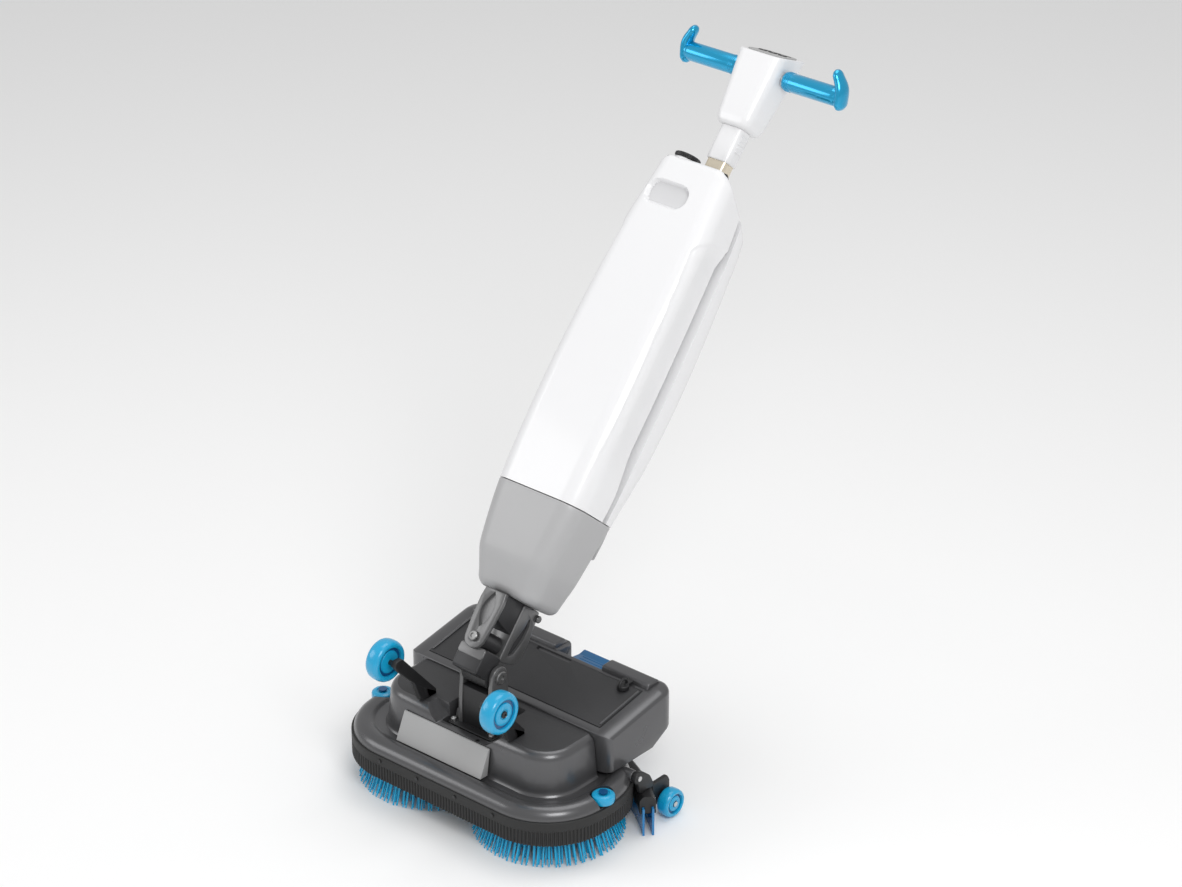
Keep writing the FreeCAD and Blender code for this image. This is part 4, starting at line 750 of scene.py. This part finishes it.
def make_yoke():
    """Base block, two rounded ears and a cross web."""
    foot = [slab(rounded(-43.8, -45.8, 43.8, 17.8, 5, 5), 128.1, 136, 1.2, "z"),
        slab(rounded(-24.4, -32.8, 24.4, 4.8, 3, 4), 135.0, 198.8, 1.5, "z")]
    piece("yoke_foot", foot, "deck", BLACK)
    parts = []
    for sign in SIGNS:
        outline = [(-35, 135), (11, 135), (5.6, 190), (3, 222)]
        outline += [(PITCH_Y + 16 * cos(a), PITCH_Z + 16 * sin(a))
            for a in [pi * k / 14 for k in range(15)]]
        outline += [(-29.2, 222), (-32.6, 188)]
        parts.append(slab(outline, *span(sign, 24.2, 31.8), 1.5))
        parts.append(slab(softened([(-32, 135.5), (8, 135.5), (4, 150), (-28, 150)], 3),
            *span(sign, 24.5, 40), 1.5))
    yoke = piece("yoke", parts, "deck", CASTING, ["neck_yoke"])
    carve(yoke, [bore(PITCH_Y, PITCH_Z, 6.0, -60, 60)])
    screw = ((0, 0), (4.5, 0), (4.5, 3.8), (3.9, 4.8), (2.4, 5), (2.4, 2.6), (0, 2.6))
    screws = [lathe(screw, (x, y, 136.0), steps=24) for x in (-37.0, 37.0) for y in (-38.0, 10.0)]
    piece("yoke_screws", screws, "deck", STEEL, ["yoke_bolts"])
    profile = ((0, 0.1), (10, 0.1), (10, 3.0), (8.8, 4.0), (4.6, 4.0), (4.6, 2.0), (0, 2.0))
    heads = [lathe([(r, sign * a) for r, a in profile], (sign * 32, PITCH_Y, PITCH_Z), "x", 40) for _,
        sign in SIDES]
    rod = slab(disc(PITCH_Y, PITCH_Z, 5.95), -32.2, 32.2, 0.3)
    piece("pitch_pivot", heads + [rod], "deck", GUNMETAL, ["pitch_pin"])


def make_link():
    """The cross piece between the ears, painted in the darker casting colour as shade, since it sits in
    shadow between the ears and the fork.
    """
    outline = softened([(-47, -12), (0, -15), (14, 4), (1, 10.5), (-3.6, 12), (-4.6, 24), (-12, 26),
        (-47, 26)], [5, 12, 8, 4, 2, 3, 4, 7], 6)
    parts = [slab(outline, -23.5, 23.5, 2.4)]
    boss = [(14.8, -46.6), (14.8, -5), (0, -4)]
    parts.append(lathe([(0, -46.8), (13.6, -46.8)] + boss, (0, 0, ROLL_Z), "y", 56))
    link = piece("link_block", parts, "link", SHADED_CASTING, ["neck_link"])
    carve(link, [bore(0, 0, 6.05, -60, 60, column), bore(0, ROLL_Z, 6.0, -90, 60, column, "y")])
    # The drum under the link is painted black: painted shade in the gap round the pitch axis.
    drum = [(22.4 * cos(a), 22.4 * sin(a)) for a in [pi + pi * k / 24 for k in range(25)]]
    lower = piece("link_drum", [slab(drum, -23.3, 23.3, 1.2)], "link", BLACK)
    carve(lower, [bore(0, 0, 6.05, -60, 60, column)])
    brow = slab(rounded(-23.3, 9.0, 23.3, 25.6, 4.5, 5), -48.0, -41.0, 1.2, "y")
    piece("link_brow", [brow], "link", CASTING)
    head = lathe(((0, -3.6), (3.4, -3.6), (3.6, -5.0), (6.0, -5.2), (7.0, -4.4), (7.2, -3.2),
        (7.2, -0.4), (0, -0.4)), (0, -56, ROLL_Z), "y", 48)
    rod = slab(disc(0, ROLL_Z, 5.9), -57, 42, 0.4, "y")
    piece("roll_bolt", [head, rod], "link", GUNMETAL, ["roll_pin"])


def teardrop(top, foot_half=19.0, arm_r=17.0, steps=18):
    """The fork plate's outline: a round eye below, widening to the base."""
    low = [(arm_r * cos(a), ROLL_Z + arm_r * sin(a)) for a in [pi + pi * k / steps
        for k in range(steps + 1)]]
    return low + [(19.6, 60), (21, top - 16), (foot_half, top), (-foot_half, top), (-21, top - 16),
        (-19.6, 60)]


def make_fork():
    """Front plate with a lens hollow, and the deep rear arm with its crescent hollows."""
    top = 109.9
    plate = piece("fork_plate", [slab(teardrop(top), -56, -48.2, 1.4, "y")], "column", CASTING,
        ["neck_fork"])
    lens = [(10.5 * sin(pi * k / 16), 52 + 55 * k / 16) for k in range(16)]
    lens += [(-x, 159 - z) for x, z in lens]
    carve(plate, [cutter(slab(lens, -60, -51.4, 0.05, "y"), column),
        bore(0, ROLL_Z, 6.05, -90, -40, column, "y")], edge=0.5)
    rear = softened([(-2.6, 20.4), (10, 20.4), (34, 24), (45.6, 40), (46, 62), (41, 90), (38, top),
        (-2.6, top)], [4, 8, 10, 10, 12, 10, 4, 4], 6)
    arm = piece("fork_arm", [slab(rear, -19.6, 19.6, 1.8)], "column", CASTING)
    cutters = [bore(0, ROLL_Z, 6.05, -10, 60, column, "y")]
    for sign in SIGNS:
        crescent = softened([(10, 30), (22, 38), (30, 60), (30, 84), (22, 98), (20, 80), (12, 56)],
            [4, 10, 12, 8, 2, 14, 12], 6)
        cutters.append(cutter(slab(crescent, *span(sign, 15.5, 30), 0.1), column))
    carve(arm, cutters, edge=1.0)
    # The floors of the crescent hollows take the darker casting colour: painted shade in the hollows.
    arm.data.materials.append(SHADED_CASTING)
    for face in arm.data.polygons:
        if abs(face.normal.x) > 0.9 and abs(face.center.x) < 0.0165:
            face.material_index = 1
    # The bridge between the plate and the arm takes the darker casting colour: painted shade between
    # the parts.
    bridge = softened([(-50, 72), (0, 60), (0, top), (-50, top)], [4, 2, 1, 1])
    piece("fork_bridge", [slab(bridge, -17.6, 17.6, 1.6)], "column", SHADED_CASTING)
    knob = lathe(((0, -0.5), (5.5, -0.5), (5.5, 3), (4.6, 4), (0, 4.2)), (19.4, 40, 100), "x", 28)
    piece("fork_knob", [knob], "column", CASTING)


# ---- column

BODY = ((110.0, 56.4, 46.0, 41.0, 26.0), (165.0, 68.9, 69.0, 41.0, 30.0),
    (261.0, 80.5, 79.0, 43.0, 34.0), (371.0, 83.0, 83.0, 56.0, 32.0), (511.0, 82.2, 82.0, 57.0, 30.0),
    (681.0, 77.2, 76.0, 47.0, 28.0), (792.0, 66.4, 68.0, 40.0, 26.0),)
SEAM = 261.0  # where the tanks meet the foot
FLOOR = SEAM + 0.8  # underside of the tanks
MAST_HALF = 24.4  # half width of the slot that clears the mast


def foot_row(z, inset=0.0):
    """One level of the foot, drawn in from the body's outline."""
    half, ahead, behind, corner = blend_rows(BODY, z)
    return z, inset - half, inset - ahead, half - inset, behind - inset, max(corner - inset, 8)


def make_base():
    """The grey foot of the column with a soft lower edge and a rolled upper rim."""
    rows = [foot_row(110.2 + 12 * (1 - cos(a)), 12 * (1 - sin(a))) for a in quarter_turns(6)]
    rows += [foot_row(122.2 + (SEAM - 2.0 - 122.2) * k / 24) for k in range(1, 25)]
    half, ahead, behind, corner = blend_rows(BODY, SEAM)
    for drop, inset in ((0.8, 0.4), (0.2, 1.4)):
        rows.append((SEAM - drop, inset - half, inset - ahead, half - inset, behind - inset, corner))
    rows += [foot_row(z, 5) for z in (SEAM - 0.4, 160.0, 128.0)]
    piece("column_foot", [stack(rows, 16)], "column", BASE, ["column_base"])


def front_top(y):
    return 791.0 - 0.628 * (y + 68.0)


def tank_shell(top_of, y_split, sign, rows=260, pitch=2.0, groove=None):
    """One half of the column body as loops of points, with rows of flags for where the pocket's shade
    is painted; sign -1 is the front tank, 1 the rear.
    """
    half, ahead, behind, corner = blend_rows(BODY, 500.0)
    face = ahead if sign < 0 else behind
    depth = face - corner - abs(y_split)
    count = int((2 * depth + pi * corner + 2 * (half - corner)) / pitch)
    edge = 9.0
    levels = [(i / rows, 0.0, edge) for i in range(rows + 1)]
    levels += [(1.0, edge * (1 - cos(a)), edge * (1 - sin(a))) for a in quarter_turns(6)[1:]]
    loops = []
    painted_shade_rows = []
    for v, inset, drop in levels:
        loop = []
        shade = []
        for i in range(count + 1):
            z = FLOOR + v * 400
            for _ in range(3):
                half, ahead, behind, corner = blend_rows(BODY, z)
                face = ahead if sign < 0 else behind
                x, y, nx, ny = side_point(i / count, half, face, corner, y_split, sign)
                z = FLOOR + v * (top_of(y) - edge - SEAM - 0.8)
                z += edge - drop if v >= 1.0 else 0.0
            push, dark = groove(x, y, z) if groove else (0.0, False)
            loop.append((x - nx * (push + inset), y - ny * (push + inset), z))
            shade.append(dark)
        loops.append(loop)
        painted_shade_rows.append(shade)
    return loops, painted_shade_rows


def side_point(u, half, face, corner, y_split, sign):
    """Point and outward normal at a share of the way from the left edge round to the right edge."""
    depth = face - corner - abs(y_split)
    arc = pi / 2 * corner
    flat_run = 2 * (half - corner)
    s = u * (2 * depth + 2 * arc + flat_run)
    if s < depth:
        return -half, y_split + sign * s, -1.0, 0.0
    s -= depth
    if s < arc:
        a = s / corner
        return (-half + corner - corner * cos(a), sign * (face - corner + corner * sin(a)), -cos(a),
            sign * sin(a))
    s -= arc
    if s < flat_run:
        return -half + corner + s, sign * face, 0.0, sign * 1.0
    s -= flat_run
    if s < arc:
        a = s / corner
        return (half - corner + corner * sin(a), sign * (face - corner + corner * cos(a)), sin(a),
            sign * cos(a))
    s -= arc
    return half, sign * (face - corner) - sign * s, 1.0, 0.0


def front_groove(x, y, z):
    """How deep the side scoops and the finger pocket are at a place on the front tank, and whether it
    lies inside the pocket, where shade is painted.
    """
    push = 0.0
    dark = False
    if abs(x) > 40:
        start = -73.0
        arch = 662.0 + 32.0 * sqrt(max(0.0, 1 - min(abs(y + 18.0) / 55.0, 1.0) ** 2))
        inside = ease((y - start) / 2.5) * ease((arch - z) / 5.0)
        ramp = ease((y - start) / 68.0) * ease((arch - z) / 34.0)
        push += (1.8 * inside + 8.0 * ramp) * ease((z - 290.0) / 90.0)
    if y < -50:
        reach = max(abs(x + 18.5) - 19.5, 0.0)
        gap = hypot(reach, z - 731.0) - 18.0
        push += 8.0 * ease(0.5 - gap / 3.0)
        # Points inside the pocket are flagged for painted shade.
        dark = gap < -0.2
    return push, dark


def closed_with_channel(loops, y_end):
    """Close each open loop behind with the slot that clears the mast."""
    out = []
    for loop in loops:
        _, y, z = loop[-1]
        out.append(loop + [(MAST_HALF, y, z), (MAST_HALF, y_end, z), (-MAST_HALF, y_end, z),
            (-MAST_HALF, y, loop[0][2])])
    return out


def make_tanks():
    """The white tanks: front with scoops and finger pocket, rear with its bulging back."""
    loops, painted_shade_rows = tank_shell(front_top, -4.6, -1, groove=front_groove)
    closed = closed_with_channel(loops, -28.2)
    tank = piece("front_tank", [skin(closed)], "column", WHITE, ["clean_tank"], crease=28)
    # The faces inside the finger pocket take the darker grey: painted shade in the recess.
    tank.data.materials.append(POCKET_SHADE)
    per = len(closed[0])
    shaded = {i * per + k for i, row in enumerate(painted_shade_rows) for k, dark in enumerate(row) if dark}
    for face in tank.data.polygons:
        if all(v in shaded for v in face.vertices):
            face.material_index = 1

    def rear_top(y):
        return 744.0 - 0.85 * (y - 5.0)

    loops, _ = tank_shell(rear_top, 5.4, 1, rows=90, pitch=4.0)
    piece("rear_tank", [skin(closed_with_channel(loops, 12.2))], "recovery", WHITE, ["recovery_tank"],
        crease=28)


def make_lid():
    """The black sloping lid with its seal, and the filler cap."""
    outline = softened([(-60, 781), (-61, 788.6), (-55, 789.6), (-5, 757), (2, 752.5), (32, 731.5),
        (34, 727.2), (6, 727.2), (-4, 748)], [2, 3, 5, 4, 4, 4, 3, 1, 2], 5)
    lid = piece("sloping_lid", [slab(outline, -56, 56, 4.0, "x", 4)], "column", BLACK, ["tank_lid"])
    collar = ((0, 740), (21.5, 740), (21.5, 820), (0, 820))
    collar = cutter(lathe(collar, (*FILLER, 0), steps=48), column)
    mast = cutter(prism(700, 820, -MAST_HALF, -28.2, MAST_HALF, 12.2, 8), column)
    carve(lid, [mast, collar], edge=0.8)
    neck = [(13.2, 765), (17.4, 765), (17.4, 791.2), (16.4, 792), (13.2, 792)]
    piece("filler_neck", [closed_lathe(neck, (*FILLER, 0), "z", 56)], "column", WHITE)
    cap_points = knurled(FILLER, 792.5, 799.4, 19.0, 20.0)
    stem = lathe(((0, 783.2), (12, 783.2), (12.6, 784), (12.6, 793), (0, 793)), (*FILLER, 0), steps=40)
    piece("filler_cap", [cap_points, stem], "cap", BLACK, ["fill_cap"])


def knurled(centre, low, high, inner, outer, teeth=40):
    steps = teeth * 4
    loops = []
    for z, shrink, ridges in ((low, 1.0, 1), (low + 0.6, 0.0, 1), (high - 2.2, 0.0, 1),
            (high - 0.8, 1.2, 0), (high - 0.1, 3.2, 0), (high - 0.1, 9.0, 0), (high - 1.2, 10.5, 0)):
        ring = []
        for k in range(steps):
            a = tau * k / steps
            r = (outer if k % 4 in (0, 1) else inner) if ridges else outer - 0.5
            r -= shrink
            ring.append((centre[0] + r * cos(a), centre[1] + r * sin(a), z))
        loops.append(ring)
    return skin(loops)


def make_tank_latch():
    outline = softened([(44.3, 209), (51, 211), (53, 238), (52.5, 256), (46, 258.6), (44.3, 256)],
        [2, 3, 8, 4, 3, 1])
    parts = [slab(outline, -58.0, 58.0, 2.0)]
    for k in range(4):
        z = 214 + 5 * k
        parts.append(slab(rounded(50.2, z - 0.9, 52.6, z + 0.9, 0.8, 3), -40, 40, 0.7))
    piece("latch_tab", parts, "tank_release", BASE, ["tank_latch"])


# ---- handle

FACE_TILT = radians(19.0)


def make_sleeve():
    """The sleeve under the head, with fine ribs at its sides and a rolled lower edge."""
    y = GRIP_Y
    rows = []
    for z, out in ((812.2, 1.2), (812.8, 2.0), (814.4, 2.6), (840, 2.6), (865.9, 2.6)):
        rows.append((z, -18 - out, y - 14 - out, 18 + out, y + 14 + out, 8 + out))
    parts = [stack(rows, 10)]
    for i in range(5):
        low = 832.0 + 6.0 * i
        for sign in SIGNS:
            x = sign * 20.6
            parts.append(slab(rounded(y - 9, low, y + 9, low + 2.4, 1.1, 4), x - 1, x + 1, 0.6))
    sleeve = piece("sleeve", parts, "handle", WHITE, ["tube_sleeve"])
    carve(sleeve, [cutter(prism(800, 850, -18.1, y - 14.1, 18.1, y + 14.1, 8.1), column)])


def make_head():
    """The head: it swells out of the sleeve and ends in a sloping face with a raised rim."""
    y = GRIP_Y
    table = ((866.2, 23.0, 19.0, 20.5, 11.0), (867.0, 25.6, 21.4, 23.4, 12.0),
        (871, 29.0, 24.2, 26.6, 13.0), (880, 31.6, 26.2, 28.6, 14.0), (900, 33.4, 28.4, 30.4, 15.0),
        (936, 36.6, 31.6, 32.8, 17.0), (965, 39.4, 34.4, 35.2, 18.5), (992, 41.4, 36.6, 37.4, 20.0),
        (1012, 42.0, 37.0, 38.0, 20.0))
    rows = []
    for k in range(49):
        z = 866.2 + (1012.0 - 866.2) * (k / 48) ** 1.35
        half, ahead, behind, corner = blend_rows(table, z)
        rows.append((z, -half, y - ahead, half, y + behind, corner))
    head = piece("head_shell", [stack(rows, 14)], "handle", WHITE, ["handle_head"])
    rise = 80 * tan(FACE_TILT)
    slope = cutter(slab([(y - 80, 990 - rise), (y + 80, 990 + rise), (y + 80, 1060), (y - 80, 1060)],
        -80, 80, 0.05), column)
    bar = cutter(slab(disc(y, GRIP_Z, 10.05), -80, 80, 0.05), column)
    carve(head, [slope, bar], edge=2.2, crease=40)
    panel(y)


def panel(y):
    """The oval panel on the sloping face, its three buttons and small indicators."""
    def face(px, py, pz):
        return column(px, y + py * cos(FACE_TILT) - pz * sin(FACE_TILT),
            990 + py * sin(FACE_TILT) + pz * cos(FACE_TILT))

    plate = piece("panel_plate", [slab(rounded(-34, -27, 34, 27, 18, 12), 0.05, 1.7, 0.7, "z")],
        "handle", PLATE, ["control_panel"], place=face)
    windows = [cutter(slab(rounded(x - 7, -5.5, x + 7, 5.5, 4, 6), -3, 5, 0.05, "z"), face)
        for x in (-18, 0, 18)]
    carve(plate, windows)
    for label, x in (("power", -18), ("water", 0), ("suction", 18)):
        cap = slab(rounded(x - 6.6, -5.1, x + 6.6, 5.1, 3.6, 6), -3.4, 2.9, 1.0, "z")
        mark = slab(rounded(x - 2.6, -0.7, x + 2.6, 0.7, 0.6, 3), 2.6, 3.0, 0.1, "z")
        piece("key_%s_cap" % label, [cap], "key_" + label, BLACK, ["button_" + label],
            place=face)
        piece("key_%s_mark" % label, [mark], "key_" + label, WHITE, place=face)
    bars = [slab(rounded(x - 5, 13.5, x + 5, 16.5, 1.4, 4), 1.5, 2.1, 0.2, "z") for x in (-18, 0, 18)]
    piece("panel_indicators", bars, "handle", BLACK, place=face)


def make_grip(name, sign):
    """A hand grip with an upturned horn that curls inwards at its tip."""
    y, z = GRIP_Y, GRIP_Z
    start, end = 43.5, 139.0
    profile = [(10.1, start), (12.6, start), (14.0, start + 0.8), (14.5, start + 2.4),
        (14.5, start + 88), (14.2, start + 93), (13.0, end), (10.1, end)]
    ring = [(r, sign * a) for r, a in profile]
    ridges = []
    for k in range(3):
        a = start + 4.5 + 3 * k
        rib = [(14.2, a), (14.9, a + 0.4), (14.9, a + 1.0), (14.2, a + 1.4)]
        ridges.append(closed_lathe([(r, sign * s) for r, s in rib], (0, y, z), "x", 64))
    lean = radians(34.5)
    up = Vector((0, -sin(lean), cos(lean)))
    across = Vector((0, cos(lean), sin(lean)))
    path = []
    wide = []
    thick = []
    for k in range(25):
        t = k / 24
        along = -19.0 + 59.0 * t
        curl = 9.5 * ease((t - 0.45) / 0.55) ** 1.3
        bow = 2.0 * sin(pi * min(t * 1.2, 1.0))
        spot = Vector((sign * (139.6 + 2.4 + bow - curl), y, z)) + up * along
        path.append(tuple(spot))
        wide.append(14.0 * min(1.0, 0.5 + 3.2 * t) * (1 - 0.32 * ease((t - 0.4) / 0.6)))
        thick.append(7.6 * min(1.0, 0.5 + 4 * t) * (1 - 0.15 * ease((t - 0.6) / 0.4)))
    for index, share in ((0, 0.35), (-3, 0.93), (-2, 0.78), (-1, 0.42)):
        wide[index] *= share
        thick[index] *= share
    horn = sweep(path, wide, thick, side_axis=tuple(across), steps=28)
    cap_disc = lathe([(0, sign * 136), (13.4, sign * 136), (13.8, sign * 138), (12, sign * 143.5),
        (0, sign * 144.5)], (0, y, z), "x", 56)
    piece("hand_grip_" + name, [closed_lathe(ring, (0, y, z), "x", 64), horn, cap_disc] + ridges,
        "handle", PEARL, ["grip_" + name])


# ---- the whole machine

make_pan()
make_skirt()
make_cover()
make_housing()
make_battery_lid()
make_latch()
make_label_plate()
make_pedal()
for side_name, side_sign in SIDES:
    make_bristles(side_name, side_sign)
    make_brush_disc(side_name, side_sign)
    make_wheel_arm(side_name, side_sign)
    make_wheel("carry_wheel_" + side_name, "front_wheel_" + side_name, "transport_wheel_" + side_name,
        (side_sign * 110.0, *CARRY_AXLE), 32.0, 24.0, side_sign)
    make_wheel("rear_caster_" + side_name, "rear_wheel_" + side_name, "squeegee_wheel_" + side_name,
        (side_sign * 228.0, 136.0, 22.0), 22.0, 20.0, side_sign)
    make_roller(side_name, side_sign)
    make_grip(side_name, side_sign)
make_carry_axles()
make_squeegee()
make_yoke()
make_link()
make_fork()
make_base()
make_tanks()
make_lid()
make_tank_latch()
make_sleeve()
make_head()

FINISHES = (  # of the pieces that keep their CAD mesh
    (BLACK, "skirt_screws", "battery_pack", "vacuum_fan", "water_pump"),
    (STEEL, "spindle_bearings", "squeegee_hinge_pins", "squeegee_axles", "handle_bar"),
    (MOTOR, "motor_left", "motor_right", "vacuum_motor"),
    (TUBE, "column_spine", "handle_tube"),
    (DEEP_BLUE_AND_SHADE, "roller_pins"),
    (WHITE, "float_ball"),
)
for finish, *node_names in FINISHES:
    for node_name in node_names:
        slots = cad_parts[node_name].data.materials
        slots.clear()
        slots.append(finish)


# ---- stage, light and camera

def make_stage():
    floor_mesh = bpy.data.meshes.new("floor")
    size = 14.0
    floor_mesh.from_pydata([(-size, -size, 0), (size, -size, 0), (size, size, 0), (-size, size, 0)], [],
        [(0, 1, 2, 3)])
    floor = add("floor", floor_mesh)
    floor_mesh.materials.append(material("pale_floor", (0.92, 0.92, 0.92), 0.7))
    world = bpy.data.worlds.new("studio")
    world.use_nodes = True
    set_inputs(world.node_tree.nodes["Background"], Color=(1.0, 1.0, 1.0, 1.0), Strength=0.58)
    scene.world = world


def lamp(name, place, target, power, size):
    data = bpy.data.lights.new(name, "AREA")
    data.energy = power
    data.size = size
    light = add(name, data)
    light.location = place
    light.rotation_euler = (Vector(target) - Vector(place)).to_track_quat("-Z", "Y").to_euler()


def make_view():
    """A plain view transform, so the finishes keep their own colours."""
    scene.view_settings.view_transform = "Standard"


def make_camera():
    azimuth = radians(40.824)
    elevation = radians(27.478)
    back = Vector((sin(azimuth) * cos(elevation), -cos(azimuth) * cos(elevation), sin(elevation)))
    data = bpy.data.cameras.new("camera")
    data.lens = 117.99
    data.sensor_width = 36.0
    data.clip_end = 60.0
    camera = add("camera", data)
    camera.location = (3.2477, -3.8001, 3.0805)
    camera.rotation_euler = (-back).to_track_quat("-Z", "Y").to_euler()
    bpy.context.scene.camera = camera


make_stage()
lamp("key", (2.2, -1.6, 2.6), (0, 0, 0.4), 50.0, 1.4)
lamp("fill", (-2.4, -2.2, 1.8), (0, 0, 0.3), 20.0, 1.6)
lamp("top", (0.0, 0.6, 3.2), (0, 0, 0.2), 26.0, 2.0)
make_camera()
make_view()
